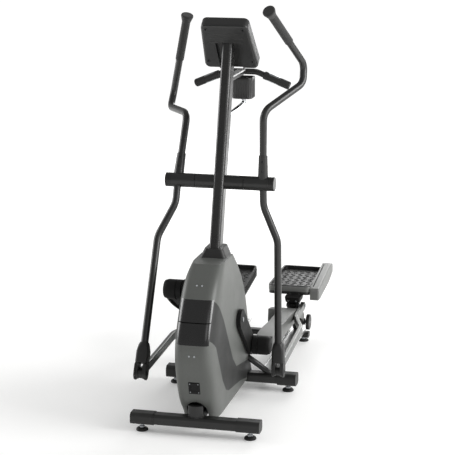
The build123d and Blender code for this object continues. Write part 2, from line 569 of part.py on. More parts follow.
with BuildPart() as idler:
    with BuildSketch(Plane.YZ.offset(BELT_NEAR)):
        with Locations((IDLER_Y, IDLER_Z)):
            Circle(IDLER_RADIUS)
            Circle(6 + RUNNING, mode=Mode.SUBTRACT)
    extrude(amount=BELT_WIDTH)
save(idler.part, "idler_wheel")

with BuildPart() as belt:
    for radius_gap, mode in ((BELT_THICKNESS + FIT, Mode.ADD), (FIT, Mode.SUBTRACT)):
        large, small = PULLEY_RADIUS + radius_gap, FLYWHEEL_PULLEY_RADIUS + radius_gap
        with BuildSketch(side_plane(1, BELT_NEAR + 1, 0, FLYWHEEL_Y, FLYWHEEL_Z, degrees(BELT_RISE))) as loop:
            with BuildLine():
                top_small = (-small * sin(BELT_LEAN), small * cos(BELT_LEAN))
                top_large = (BELT_SPAN - large * sin(BELT_LEAN), large * cos(BELT_LEAN))
                foot_small, foot_large = (top_small[0], -top_small[1]), (top_large[0], -top_large[1])
                Line(top_small, top_large)
                ThreePointArc(top_large, (BELT_SPAN + large, 0), foot_large)
                Line(foot_large, foot_small)
                ThreePointArc(foot_small, (-small, 0), top_small)
            make_face()
        extrude(loop.sketch, amount=BELT_WIDTH - 2, mode=mode)
save(belt.part, "drive_belt")

SHOE_WIDTH = 20.0
with BuildPart() as brake_shoe:
    with BuildSketch(Plane.YZ.offset(BELT_NEAR + BELT_WIDTH - 1)):
        with Locations((FLYWHEEL_Y, FLYWHEEL_Z)):
            Circle(FLYWHEEL_RADIUS + BRAKE_GAP + SHOE_DEPTH)
            Circle(FLYWHEEL_RADIUS + BRAKE_GAP, mode=Mode.SUBTRACT)
        with BuildLine():
            reach = FLYWHEEL_RADIUS * 2
            first, last = radians(SHOE_START), radians(SHOE_START + SHOE_ARC)
            Polyline(
                (FLYWHEEL_Y, FLYWHEEL_Z),
                (FLYWHEEL_Y + reach * cos(first), FLYWHEEL_Z + reach * sin(first)),
                (FLYWHEEL_Y + reach * cos(last), FLYWHEEL_Z + reach * sin(last)),
                close=True,
            )
        make_face(mode=Mode.INTERSECT)
        with Locations(BRAKE_PIVOT):
            Circle(14)
            Circle(BRAKE_PIN_RADIUS + RUNNING, mode=Mode.SUBTRACT)
    extrude(amount=SHOE_WIDTH)
save(brake_shoe.part, "brake_shoe")

with BuildPart() as brake_servo:
    with BuildSketch(Plane.YZ.offset(FLYWHEEL_PLATE_NEAR + FIT)):
        with Locations((BRAKE_PIVOT[0] + 10, BRAKE_PIVOT[1] + 8)):
            RectangleRounded(56, 46, 6)
    extrude(amount=16)
    with BuildSketch(Plane.YZ.offset(BELT_NEAR + BELT_WIDTH - 4)):
        with Locations(BRAKE_PIVOT):
            Circle(BRAKE_PIN_RADIUS)
    extrude(amount=FLYWHEEL_PLATE_NEAR + FIT - BELT_NEAR - BELT_WIDTH + 4)
save(brake_servo.part, "brake_servo")

# ---- swinging handles ----------------------------------------------------------------------------
GRIP_LENGTH, GRIP_FLARE, FLARE_RADIUS = 208.0, 26.0, 27.0
SOCKET_START, SOCKET_END = 44.0, 118.0  # along the handle's axis, from the pivot
FOOT_PIN_RADIUS, FOOT_BOLT_RADIUS = 7.0, 15.0
for side, side_name in SIDES.items():
    foot_x, foot_y, foot_z = swung(side, CONTROL_BAR_X, *HANDLE_FOOT)
    tube_axis = Vector(*swung(side, HANDLE_OUTER_X, *LOWER_PATH[1][1:])) - Vector(foot_x, foot_y, foot_z)
    foot_tilt = degrees(atan2(tube_axis.Z, tube_axis.Y))
    with BuildPart() as handle_arm:
        with BuildLine() as lower_line:
            FilletPolyline(
                swung(side, HANDLE_INNER_X, 0, 0), *[swung(side, *point) for point in LOWER_PATH], radius=110,
            )
        with BuildSketch(Plane(origin=lower_line.line @ 0, z_dir=lower_line.line % 0)):
            Circle(HANDLE_RADIUS)
        sweep(path=lower_line.line)
        # hub that turns on the pivot axle, its ribbed end, and the socket for the upper tube
        with BuildSketch(side_plane(side, HUB_NEAR, HUB_FAR, PIVOT_Y, PIVOT_Z)) as hub:
            Circle(PIVOT_TUBE_RADIUS)
        extrude(hub.sketch, amount=HUB_FAR - HUB_NEAR)
        for rib in range(3):
            near = HUB_FAR - 24 + 7 * rib
            with BuildSketch(side_plane(side, near, near + 2.5, PIVOT_Y, PIVOT_Z)) as groove:
                Circle(PIVOT_TUBE_RADIUS + 1)
                Circle(PIVOT_TUBE_RADIUS - 1.5, mode=Mode.SUBTRACT)
            extrude(groove.sketch, amount=2.5, mode=Mode.SUBTRACT)
        with BuildSketch(side_plane(side, HUB_NEAR, HUB_FAR - 9, PIVOT_Y, PIVOT_Z)) as bore:
            Circle(PIVOT_AXLE_RADIUS + RUNNING)
        extrude(bore.sketch, amount=HUB_FAR - 9 - HUB_NEAR, mode=Mode.SUBTRACT)
        socket_base = Vector(*swung(side, HANDLE_INNER_X, 0, 0))
        socket_axis = Vector(*swung(side, *UPPER_PATH[0])) - socket_base
        socket_plane = Plane(origin=socket_base, z_dir=socket_axis)
        with BuildSketch(socket_plane.offset(PIVOT_AXLE_RADIUS + 6)) as low_ring:
            Circle(SOCKET_RADIUS + 1)
        with BuildSketch(socket_plane.offset(SOCKET_END)) as high_ring:
            Circle(SOCKET_RADIUS - 2)
        loft(sections=[low_ring.sketch, high_ring.sketch])
        with BuildSketch(socket_plane.offset(SOCKET_START)) as socket:
            Circle(HANDLE_RADIUS + RUNNING)
        extrude(socket.sketch, amount=80, mode=Mode.SUBTRACT)
        # clevis at the foot, with its two plates either side of the control bar
        width = CLEVIS_GAP + 2 * CLEVIS_PLATE
        near = CONTROL_BAR_X - width / 2
        with BuildSketch(side_plane(side, near, near + width, foot_y, foot_z, foot_tilt)) as clevis:
            with BuildLine():
                Polyline((0, -22), (104, -24), (122, -16), (122, 16), (104, 24), (0, 22))
                ThreePointArc((0, 22), (-22, 0), (0, -22))
            make_face()
        extrude(clevis.sketch, amount=width)
        near = CONTROL_BAR_X - CLEVIS_GAP / 2
        with BuildSketch(side_plane(side, near, near + CLEVIS_GAP, foot_y, foot_z, foot_tilt)) as fork_slot:
            with Locations((4, 0)):
                Rectangle(78, 80)
        extrude(fork_slot.sketch, amount=CLEVIS_GAP, mode=Mode.SUBTRACT)
        near = CONTROL_BAR_X - width / 2 - 5
        with BuildSketch(side_plane(side, near, near + width + 10, foot_y, foot_z)) as foot_pin:
            Circle(FOOT_PIN_RADIUS)
        extrude(foot_pin.sketch, amount=width + 10)
        for near in (CONTROL_BAR_X - width / 2 - 7, CONTROL_BAR_X + width / 2):
            with BuildSketch(side_plane(side, near, near + 7, foot_y, foot_z)) as foot_bolt:
                Circle(FOOT_BOLT_RADIUS)
            extrude(foot_bolt.sketch, amount=7)
    save(handle_arm.part, f"{side_name}_handle_arm")

    with BuildPart() as upper:
        start = socket_base + socket_axis.normalized() * (SOCKET_START + 2)
        with BuildLine() as upper_line:
            FilletPolyline(start, *[swung(side, *point) for point in UPPER_PATH], radius=[62, 48, 48])
        with BuildSketch(Plane(origin=upper_line.line @ 0, z_dir=upper_line.line % 0)):
            Circle(HANDLE_RADIUS)
        sweep(path=upper_line.line)
    save(upper.part, f"{side_name}_handle_upper")

    tip = upper_line.line @ 1
    grip_axis = (upper_line.line % 1).normalized()
    grip_base = tip - grip_axis * GRIP_LENGTH
    with BuildPart() as grip:
        with BuildSketch(Plane(origin=grip_base, z_dir=grip_axis)):
            Circle(GRIP_RADIUS)
        extrude(amount=GRIP_LENGTH - GRIP_FLARE)
        with BuildSketch(Plane(origin=tip - grip_axis * GRIP_FLARE, z_dir=grip_axis)) as neck:
            Circle(GRIP_RADIUS)
        with BuildSketch(Plane(origin=tip + grip_axis * 2, z_dir=grip_axis)) as lip:
            Circle(FLARE_RADIUS)
        loft(sections=[neck.sketch, lip.sketch])
        with BuildSketch(Plane(origin=tip + grip_axis * 2, z_dir=grip_axis)) as crown:
            Circle(FLARE_RADIUS)
        extrude(crown.sketch, amount=8)
        fillet(grip.faces().filter_by(GeomType.PLANE).sort_by(Axis((0, 0, 0), tuple(grip_axis)))[-1].edges(), 5)
        with BuildSketch(Plane(origin=grip_base, z_dir=grip_axis)) as grip_bore:
            Circle(HANDLE_RADIUS + RUNNING)
        extrude(grip_bore.sketch, amount=GRIP_LENGTH + RUNNING, mode=Mode.SUBTRACT)
    save(grip.part, f"{side_name}_grip")

    # control bar: square tube from the handle's foot back to the pedal pivot
    end_y, end_z = on_link(side, PEDAL_PIVOT_ALONG, PEDAL_PIVOT_UP)
    bar_length = hypot(end_y - foot_y, end_z - foot_z)
    bar_tilt = degrees(atan2(end_z - foot_z, end_y - foot_y))
    bar_turn = radians(bar_tilt)
    along_bar, down_bar = (0, cos(bar_turn), sin(bar_turn)), (0, sin(bar_turn), -cos(bar_turn))
    flat = Plane(origin=(0, foot_y, foot_z), x_dir=along_bar, z_dir=down_bar)
    with BuildPart() as control_bar:
        bend_near, bend_far = bar_length - 300, bar_length - 170
        with BuildLine(flat) as bar_line:
            FilletPolyline(
                (0, side * CONTROL_BAR_X), (bend_near, side * CONTROL_BAR_X),
                (bend_far, side * CONTROL_BAR_END_X), (bar_length, side * CONTROL_BAR_END_X), radius=90,
            )
        with BuildSketch(Plane(origin=bar_line.line @ 0, x_dir=(1, 0, 0), z_dir=bar_line.line % 0)):
            RectangleRounded(CONTROL_BAR_WIDTH, CONTROL_BAR_HEIGHT, 4)
        sweep(path=bar_line.line)
        for eye_x, eye_y, eye_z in ((CONTROL_BAR_X, foot_y, foot_z), (CONTROL_BAR_END_X, end_y, end_z)):
            near = eye_x - CONTROL_BAR_WIDTH / 2
            with BuildSketch(side_plane(side, near, near + CONTROL_BAR_WIDTH, eye_y, eye_z)) as eye:
                Circle(CONTROL_BAR_HEIGHT / 2)
            extrude(eye.sketch, amount=CONTROL_BAR_WIDTH)
        with BuildSketch(side_plane(side, CONTROL_BAR_X - 20, CONTROL_BAR_X + 20, foot_y, foot_z)) as foot_bore:
            Circle(FOOT_PIN_RADIUS + RUNNING)
        extrude(foot_bore.sketch, amount=40, mode=Mode.SUBTRACT)
    save(control_bar.part, f"{side_name}_control_bar")

# ---- foot links, rollers and pedals --------------------------------------------------------------
LINK_TOP = [(46, 34), (110, 48), (300, 64), (500, 88), (690, 80), (790, 46)]
LINK_FOOT = [(790, 6), (700, 34), (560, 32), (310, -2), (110, -28), (46, -30)]
HOOD_WALL = 3.0
FORK_NEAR, FORK_FAR, CHEEK = 112.0, 180.0, 11.0
BEAM_NEAR, BEAM_FAR = 134.0, 164.0
LUG_RADIUS, PEDAL_PIN_RADIUS = 15.0, 6.0


def link_outline(rise, drop):
    """Arched side outline of a foot link, with its top lowered by rise and its foot by drop."""
    Spline(*[(along, up - rise) for along, up in LINK_TOP])
    Line((LINK_TOP[-1][0], LINK_TOP[-1][1] - rise), (LINK_FOOT[0][0], LINK_FOOT[0][1] - drop))
    Spline(*[(along, up - drop) for along, up in LINK_FOOT])
    Line((LINK_FOOT[-1][0], LINK_FOOT[-1][1] - drop), (LINK_TOP[0][0], LINK_TOP[0][1] - rise))


for side, side_name in SIDES.items():
    pin_y, pin_z = pin_at(side)
    tilt = -link_drop(side)
    roller_y, roller_z = on_link(side, LINK_LENGTH, 0)

    with BuildPart() as beam:
        with BuildSketch(side_plane(side, BEAM_NEAR, BEAM_FAR, pin_y, pin_z, tilt)) as web:
            with BuildLine():
                link_outline(HOOD_WALL + FIT, -4)
            make_face()
        extrude(web.sketch, amount=BEAM_FAR - BEAM_NEAR)
        with BuildSketch(side_plane(side, BEAM_NEAR, BEAM_FAR, pin_y, pin_z, tilt)) as neck:
            with Locations((30, 0)):
                Rectangle(60, 50)
        extrude(neck.sketch, amount=BEAM_FAR - BEAM_NEAR)
        # bearing housing on the crank pin, in two lengths with a groove between them
        for near, far, radius in (
            (LINK_NEAR, 130.0, LINK_HUB_RADIUS), (130.0, 134.0, LINK_HUB_RADIUS - 4), (134.0, 170.0, LINK_HUB_RADIUS),
        ):
            with BuildSketch(side_plane(side, near, far, pin_y, pin_z)) as hub:
                Circle(radius)
            extrude(hub.sketch, amount=far - near)
        outer = 170.0 if side > 0 else -170.0
        with BuildSketch(Plane.YZ.offset(outer)) as cap_base:
            with Locations((pin_y, pin_z)):
                Circle(LINK_HUB_RADIUS)
        with BuildSketch(Plane.YZ.offset(outer + side * 14)) as cap_end:
            with Locations((pin_y, pin_z)):
                Circle(LINK_HUB_RADIUS - 5)
        loft(sections=[cap_base.sketch, cap_end.sketch])
        # fork round the roller
        with BuildSketch(side_plane(side, FORK_NEAR, FORK_FAR, pin_y, pin_z, tilt)) as block:
            with Locations((LINK_LENGTH - 76, 22)):
                Rectangle(44, 30)
        extrude(block.sketch, amount=FORK_FAR - FORK_NEAR)
        for near in (FORK_NEAR, FORK_FAR - CHEEK):
            with BuildSketch(side_plane(side, near, near + CHEEK, pin_y, pin_z, tilt)) as cheek:
                with BuildLine():
                    Polyline((LINK_LENGTH - 98, 37), (LINK_LENGTH - 98, 7), (LINK_LENGTH - 10, -14), (LINK_LENGTH, -16))
                    ThreePointArc((LINK_LENGTH, -16), (LINK_LENGTH + 16, 0), (LINK_LENGTH, 16))
                    Line((LINK_LENGTH, 16), (LINK_LENGTH - 98, 37))
                make_face()
                with Locations((LINK_LENGTH, 0)):
                    Circle(ROLLER_AXLE_RADIUS + RUNNING, mode=Mode.SUBTRACT)
            extrude(cheek.sketch, amount=CHEEK)
        # lug for the pedal pivot
        with BuildSketch(side_plane(side, BEAM_NEAR, BEAM_FAR, pin_y, pin_z, tilt)) as lug:
            with Locations((PEDAL_PIVOT_ALONG, PEDAL_PIVOT_UP)):
                Circle(LUG_RADIUS)
            with Locations((PEDAL_PIVOT_ALONG, PEDAL_PIVOT_UP - 20)):
                Rectangle(2 * LUG_RADIUS, 40)
            with Locations((PEDAL_PIVOT_ALONG, PEDAL_PIVOT_UP)):
                Circle(PEDAL_PIN_RADIUS + RUNNING, mode=Mode.SUBTRACT)
        extrude(lug.sketch, amount=BEAM_FAR - BEAM_NEAR)
    save(beam.part, f"{side_name}_link_beam")

    with BuildPart() as cover:
        with BuildSketch(side_plane(side, LINK_NEAR, LINK_FAR, pin_y, pin_z, tilt)) as narrow:
            with BuildLine():
                link_outline(0, 0)
            make_face()
        extrude(narrow.sketch, amount=LINK_FAR - LINK_NEAR)
        with BuildSketch(side_plane(side, LINK_WIDE_NEAR, LINK_FAR, pin_y, pin_z, tilt)) as wide:
            with BuildLine():
                link_outline(0, 0)
            make_face()
            with Locations((LINK_WIDE_START / 2, 0)):
                Rectangle(LINK_WIDE_START, 400, mode=Mode.SUBTRACT)
        extrude(wide.sketch, amount=LINK_FAR - LINK_WIDE_NEAR)
        for near, start in ((LINK_NEAR, 0.0), (LINK_WIDE_NEAR, LINK_WIDE_START + HOOD_WALL)):
            near += HOOD_WALL
            with BuildSketch(side_plane(side, near, LINK_FAR - HOOD_WALL, pin_y, pin_z, tilt)) as hollow:
                with BuildLine():
                    link_outline(HOOD_WALL, 60)
                make_face()
                if start:
                    with Locations((start / 2, 0)):
                        Rectangle(start, 600, mode=Mode.SUBTRACT)
            extrude(hollow.sketch, amount=LINK_FAR - HOOD_WALL - near, mode=Mode.SUBTRACT)
        # window for the pedal bracket
        with BuildSketch(side_plane(side, FORK_NEAR + 3, FORK_FAR + 2, pin_y, pin_z, tilt)) as window:
            with Locations((PEDAL_PIVOT_ALONG, PEDAL_PIVOT_UP)):
                Rectangle(84, 64)
        extrude(window.sketch, amount=FORK_FAR - FORK_NEAR - 1, mode=Mode.SUBTRACT)
    save(cover.part, f"{side_name}_link_cover")

    with BuildPart() as roller_axle:
        with BuildSketch(side_plane(side, FORK_NEAR - 3, 206, roller_y, roller_z)) as rod:
            Circle(ROLLER_AXLE_RADIUS)
        extrude(rod.sketch, amount=209 - FORK_NEAR)
    save(roller_axle.part, f"{side_name}_roller_axle")

    with BuildPart() as roller:
        for near, far in ((FORK_NEAR + CHEEK + 2, FORK_FAR - CHEEK - 2), (189.0, 206.0)):
            with BuildSketch(side_plane(side, near, far, roller_y, roller_z)) as tread:
                Circle(ROLLER_RADIUS)
                Circle(ROLLER_AXLE_RADIUS + RUNNING, mode=Mode.SUBTRACT)
            extrude(tread.sketch, amount=far - near)
    save(roller.part, f"{side_name}_roller")

    # pedal: tray with raised lips, ears round the link's lug, and the outer guard
    pivot_y, pivot_z = on_link(side, PEDAL_PIVOT_ALONG, PEDAL_PIVOT_UP)
    pedal_tilt = PEDAL_TILT[side]
    tray_far = PEDAL_FAR - 44
    with BuildPart() as tray:
        turn = radians(pedal_tilt)
        tray_plane = Plane(
            origin=(side * (PEDAL_NEAR + tray_far) / 2, pivot_y, pivot_z),
            x_dir=(0, cos(turn), sin(turn)), z_dir=(0, -sin(turn), cos(turn)),
        )
        with BuildSketch(tray_plane.offset(TREAD_UP - 26)):
            with Locations(((PEDAL_AFT + PEDAL_FORE) / 2, 0)):
                RectangleRounded(PEDAL_AFT - PEDAL_FORE, tray_far - PEDAL_NEAR, 22)
        extrude(amount=44)
        with BuildSketch(tray_plane.offset(TREAD_UP)):
            with Locations(((PEDAL_AFT + PEDAL_FORE) / 2, 0)):
                RectangleRounded(PEDAL_AFT - PEDAL_FORE - 16, tray_far - PEDAL_NEAR - 16, 15)
        extrude(amount=44, mode=Mode.SUBTRACT)
        with BuildSketch(tray_plane.offset(TREAD_UP - 30)):
            with Locations(((PEDAL_AFT + PEDAL_FORE) / 2, 0)):
                RectangleRounded(PEDAL_AFT - PEDAL_FORE - 12, tray_far - PEDAL_NEAR - 12, 16)
        extrude(amount=24, mode=Mode.SUBTRACT)
        for near in (BEAM_NEAR - 12, BEAM_FAR + 2):
            with BuildSketch(side_plane(side, near, near + 10, pivot_y, pivot_z, pedal_tilt)) as ear:
                with BuildLine():
                    Polyline((-16, 0), (-16, 20), (56, TREAD_UP - 4), (150, TREAD_UP - 4), (150, 46), (16, 0))
                    ThreePointArc((16, 0), (0, -16), (-16, 0))
                make_face()
            extrude(ear.sketch, amount=10)
        near = BEAM_NEAR - 16
        with BuildSketch(side_plane(side, near, BEAM_FAR + 16, pivot_y, pivot_z)) as pedal_pin:
            Circle(PEDAL_PIN_RADIUS)
        extrude(pedal_pin.sketch, amount=BEAM_FAR + 16 - near)
    save(tray.part, f"{side_name}_pedal")

    with BuildPart() as guard:
        with BuildSketch(side_plane(side, tray_far + FIT, PEDAL_FAR, pivot_y, pivot_z, pedal_tilt)) as outline:
            with BuildLine():
                Polyline(
                    (PEDAL_FORE, 18), (PEDAL_FORE, 76), (PEDAL_AFT - 60, 122), (PEDAL_AFT, 112), (PEDAL_AFT, 64),
                    (PEDAL_AFT - 120, 36), (PEDAL_FORE + 50, 18), close=True,
                )
            make_face()
            fillet(outline.vertices(), 14)
        extrude(outline.sketch, amount=PEDAL_FAR - tray_far - FIT)
        fillet(guard.faces().sort_by(Axis.X)[-1 if side > 0 else 0].edges(), 8)
    save(guard.part, f"{side_name}_pedal_guard")

# ---- console and its fittings --------------------------------------------------------------------
def console_outline(inset):
    """Console outline in its own plane, wider at its foot, drawn in by inset."""
    half_top, half_foot = CONSOLE_TOP_WIDE / 2 - inset, CONSOLE_FOOT_WIDE / 2 - inset
    half_tall = CONSOLE_TALL / 2 - inset
    Polygon(
        (-half_top, half_tall), (-half_foot, -half_tall), (half_foot, -half_tall), (half_top, half_tall), align=None,
    )


POCKET_HALF, POCKET_TALL = 50.0, 156.0
with BuildPart() as console_rear:
    with BuildSketch(CONSOLE_BACK) as back:
        console_outline(0)
        fillet(back.vertices(), 24)
    extrude(amount=CONSOLE_REAR_DEPTH)
    fillet(console_rear.faces().sort_by(Axis((0, 0, 0), CONSOLE_OUT))[0].edges(), 12)
    with BuildSketch(CONSOLE_BACK.offset(SHEET)) as inside:
        console_outline(SHEET)
        fillet(inside.vertices(), 21)
    extrude(amount=CONSOLE_REAR_DEPTH, mode=Mode.SUBTRACT)
    pocket_middle = -(CONSOLE_TALL - POCKET_TALL) / 2
    with BuildSketch(CONSOLE_BACK.offset(1)):
        with Locations((0, pocket_middle + SHEET / 2)):
            Rectangle(2 * (POCKET_HALF + SHEET), POCKET_TALL + SHEET)
    extrude(amount=POCKET + SHEET - 1)
    with BuildSketch(CONSOLE_BACK.offset(-1)):
        with Locations((0, pocket_middle - 2)):
            Rectangle(2 * POCKET_HALF, POCKET_TALL + 4)
    extrude(amount=POCKET + 1, mode=Mode.SUBTRACT)
save(console_rear.part, "console_rear")

SCREEN_WIDE, SCREEN_TALL, SCREEN_UP = 140.0, 96.0, 44.0
BOARD_UP, BOARD_DROP, BOARD_THICKNESS = 10.0, 6.0, 1.6
KEYS = {"key_start": (0, -62), "key_down": (-44, -62), "key_up": (44, -62)}
with BuildPart() as console_face:
    with BuildSketch(CONSOLE_BACK.offset(CONSOLE_REAR_DEPTH)) as front:
        console_outline(0)
        fillet(front.vertices(), 24)
        with Locations((0, SCREEN_UP)):
            RectangleRounded(SCREEN_WIDE + 2 * FIT, SCREEN_TALL + 2 * FIT, 6, mode=Mode.SUBTRACT)
        with Locations(*KEYS.values()):
            RectangleRounded(KEY_SIZE + 2 * FIT, KEY_SIZE + 2 * FIT, 4, mode=Mode.SUBTRACT)
    extrude(amount=CONSOLE_FACE_DEPTH)
    with BuildSketch(CONSOLE_BACK.offset(CONSOLE_REAR_DEPTH - BOARD_DROP + BOARD_THICKNESS)):
        with Locations((0, BOARD_UP)):
            with GridLocations(CONSOLE_TOP_WIDE - 40, CONSOLE_TALL - 80, 2, 2):
                Circle(4)
    extrude(amount=BOARD_DROP - BOARD_THICKNESS)
    fillet(console_face.faces().sort_by(Axis((0, 0, 0), CONSOLE_OUT))[-1].outer_wire().edges(), 5)
save(console_face.part, "console_face")

with BuildPart() as screen:
    with BuildSketch(CONSOLE_BACK.offset(CONSOLE_REAR_DEPTH + 4)):
        with Locations((0, SCREEN_UP)):
            RectangleRounded(SCREEN_WIDE, SCREEN_TALL, 6)
    extrude(amount=CONSOLE_FACE_DEPTH - 5)
save(screen.part, "console_screen")

for key_name, key_place in KEYS.items():
    with BuildPart() as key:
        with BuildSketch(CONSOLE_BACK.offset(CONSOLE_REAR_DEPTH + 3)):
            with Locations(key_place):
                RectangleRounded(KEY_SIZE, KEY_SIZE, 4)
        extrude(amount=CONSOLE_FACE_DEPTH)
    save(key.part, key_name)

with BuildPart() as circuit_board:
    with BuildSketch(CONSOLE_BACK.offset(CONSOLE_REAR_DEPTH - BOARD_DROP)):
        with Locations((0, BOARD_UP)):
            Rectangle(CONSOLE_TOP_WIDE - 24, CONSOLE_TALL - 60)
    extrude(amount=BOARD_THICKNESS)
save(circuit_board.part, "circuit_board")

MAST_REAR_Y = PIVOT_Y + (GRIP_BAR_Z - PIVOT_Z) * MAST_STEP[1] / MAST_STEP[2] + MAST_DEPTH / 2 / MAST_STEP[2]
with BuildPart() as fixed_handlebar:
    with BuildLine() as grip_line:
        FilletPolyline(
            (-196, GRIP_BAR_Y + 11, GRIP_BAR_Z - 54), (-66, GRIP_BAR_Y, GRIP_BAR_Z), (66, GRIP_BAR_Y, GRIP_BAR_Z),
            (196, GRIP_BAR_Y + 11, GRIP_BAR_Z - 54), radius=60,
        )
    with BuildSketch(Plane(origin=grip_line.line @ 0, z_dir=grip_line.line % 0)):
        Circle(GRIP_BAR_RADIUS)
    sweep(path=grip_line.line)
    with BuildSketch(Plane.XZ.offset(-(MAST_REAR_Y - 16))):
        with Locations((0, GRIP_BAR_Z)):
            RectangleRounded(42, 20, 6)
    extrude(amount=-(GRIP_BAR_Y - MAST_REAR_Y + 16))
    with BuildSketch(MAST_PLANE.offset(900)):
        RectangleRounded(MAST_WIDTH + 0.1, MAST_DEPTH + 0.1, 16)
    extrude(amount=700, mode=Mode.SUBTRACT)
save(fixed_handlebar.part, "fixed_handlebar")

PULSE_RADIUS = 20.0
with BuildPart() as pulse_grips:
    for side in SIDES:
        inner = Vector(side * 66, GRIP_BAR_Y, GRIP_BAR_Z)
        bar_end = Vector(side * 196, GRIP_BAR_Y + 11, GRIP_BAR_Z - 54)
        axis = (bar_end - inner).normalized()
        with BuildSketch(Plane(origin=inner + axis * 34, x_dir=(0, 1, 0), z_dir=axis)) as skin:
            Ellipse(PULSE_RADIUS, PULSE_RADIUS - 2)
        extrude(skin.sketch, amount=(bar_end - inner).length - 16)
    fillet(pulse_grips.faces().filter_by(GeomType.PLANE).edges(), 7)
    for side in SIDES:
        inner = Vector(side * 66, GRIP_BAR_Y, GRIP_BAR_Z)
        bar_end = Vector(side * 196, GRIP_BAR_Y + 11, GRIP_BAR_Z - 54)
        axis = (bar_end - inner).normalized()
        with BuildSketch(Plane(origin=inner + axis * 20, x_dir=(0, 1, 0), z_dir=axis)) as bore:
            Circle(GRIP_BAR_RADIUS + RUNNING)
        extrude(bore.sketch, amount=(bar_end - inner).length - 20 + RUNNING, mode=Mode.SUBTRACT)
save(pulse_grips.part, "pulse_grips")

HOLDER_Y, HOLDER_LOW, HOLDER_HIGH, HOLDER_WIDE = FRONT_Y + 852.0, 1264.0, 1358.0, 92.0
TUBE_Z = 1246.0
with BuildPart() as bottle_holder:
    with BuildSketch(Plane.XY.offset(HOLDER_LOW)):
        with Locations((0, HOLDER_Y)):
            RectangleRounded(HOLDER_WIDE, HOLDER_WIDE, 22)
    extrude(amount=HOLDER_HIGH - HOLDER_LOW)
    with BuildSketch(Plane.XY.offset(HOLDER_LOW + 16)):
        with Locations((0, HOLDER_Y)):
            RectangleRounded(HOLDER_WIDE - 2 * SHEET, HOLDER_WIDE - 2 * SHEET, 19)
    extrude(amount=HOLDER_HIGH - HOLDER_LOW, mode=Mode.SUBTRACT)
    with BuildSketch(Plane.XY.offset(HOLDER_LOW - 1)):
        with Locations((0, HOLDER_Y)):
            Circle(11 + RUNNING)
    extrude(amount=13, mode=Mode.SUBTRACT)
save(bottle_holder.part, "bottle_holder")

with BuildPart() as holder_tube:
    tube_start = PIVOT_Y + (TUBE_Z - PIVOT_Z) * MAST_STEP[1] / MAST_STEP[2]
    with BuildLine() as holder_line:
        FilletPolyline(
            (0, tube_start, TUBE_Z - 20), (0, HOLDER_Y, TUBE_Z - 8), (0, HOLDER_Y, HOLDER_LOW + 12), radius=14,
        )
    with BuildSketch(Plane(origin=holder_line.line @ 0, z_dir=holder_line.line % 0)):
        Circle(11)
    sweep(path=holder_line.line)
    with BuildSketch(MAST_PLANE.offset(800)):
        RectangleRounded(MAST_WIDTH + 0.1, MAST_DEPTH + 0.1, 16)
    extrude(amount=700, mode=Mode.SUBTRACT)
save(holder_tube.part, "holder_tube")
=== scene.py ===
"""Looks of an elliptical trainer: its coated frame, moulded shells, pedals, handles and console.

Metres, +Z up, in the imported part's frame: +X is the machine's right as seen from its front and +Y
runs rearward to the pedals. Sizes written in mm are turned to metres where they are used.
"""

import json
from math import cos, pi, radians, sin

import bmesh
import bpy
from mathutils import Matrix, Vector


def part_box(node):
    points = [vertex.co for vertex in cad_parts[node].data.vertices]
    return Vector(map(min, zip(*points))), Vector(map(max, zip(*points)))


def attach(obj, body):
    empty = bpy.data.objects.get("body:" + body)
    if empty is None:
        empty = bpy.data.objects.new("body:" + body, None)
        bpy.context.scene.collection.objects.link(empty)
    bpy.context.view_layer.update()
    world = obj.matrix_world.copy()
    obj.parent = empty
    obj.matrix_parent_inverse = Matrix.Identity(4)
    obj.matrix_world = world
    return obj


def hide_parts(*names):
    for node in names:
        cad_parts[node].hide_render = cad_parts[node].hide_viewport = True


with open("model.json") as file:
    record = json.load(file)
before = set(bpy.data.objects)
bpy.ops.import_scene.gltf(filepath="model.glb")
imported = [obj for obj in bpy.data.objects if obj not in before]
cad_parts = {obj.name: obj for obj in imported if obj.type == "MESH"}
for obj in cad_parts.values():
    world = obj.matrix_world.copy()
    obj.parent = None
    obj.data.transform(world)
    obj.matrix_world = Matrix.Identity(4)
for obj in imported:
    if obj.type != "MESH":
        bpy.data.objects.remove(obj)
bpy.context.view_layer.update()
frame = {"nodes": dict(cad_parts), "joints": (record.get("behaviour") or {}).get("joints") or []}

# ---- cross bars ----------------------------------------------------------------------------------
# Three oval steel tubes across the floor, cut to length and sprayed with charcoal powder that is
# baked on. The powder melts into a satin skin with a fine orange peel and a faint light speckle.
MM = 0.001


def linear(hex_colour):
    """An sRGB hex colour as the linear red, green, blue and alpha of a shader socket."""
    shares = [int(hex_colour[i : i + 2], 16) / 255 for i in (1, 3, 5)]
    return [s / 12.92 if s <= 0.04045 else ((s + 0.055) / 1.055) ** 2.4 for s in shares] + [1.0]


def add_node(material, kind, settings=None, links=None):
    """Adds a shader node, sets its sockets or properties, and links sockets that feed it."""
    node = material.node_tree.nodes.new(kind)
    for key, value in (settings or {}).items():
        if isinstance(key, int) or key in node.inputs:
            node.inputs[key].default_value = value
        else:
            setattr(node, key, value)
    for key, source in (links or {}).items():
        material.node_tree.links.new(source, node.inputs[key])
    return node


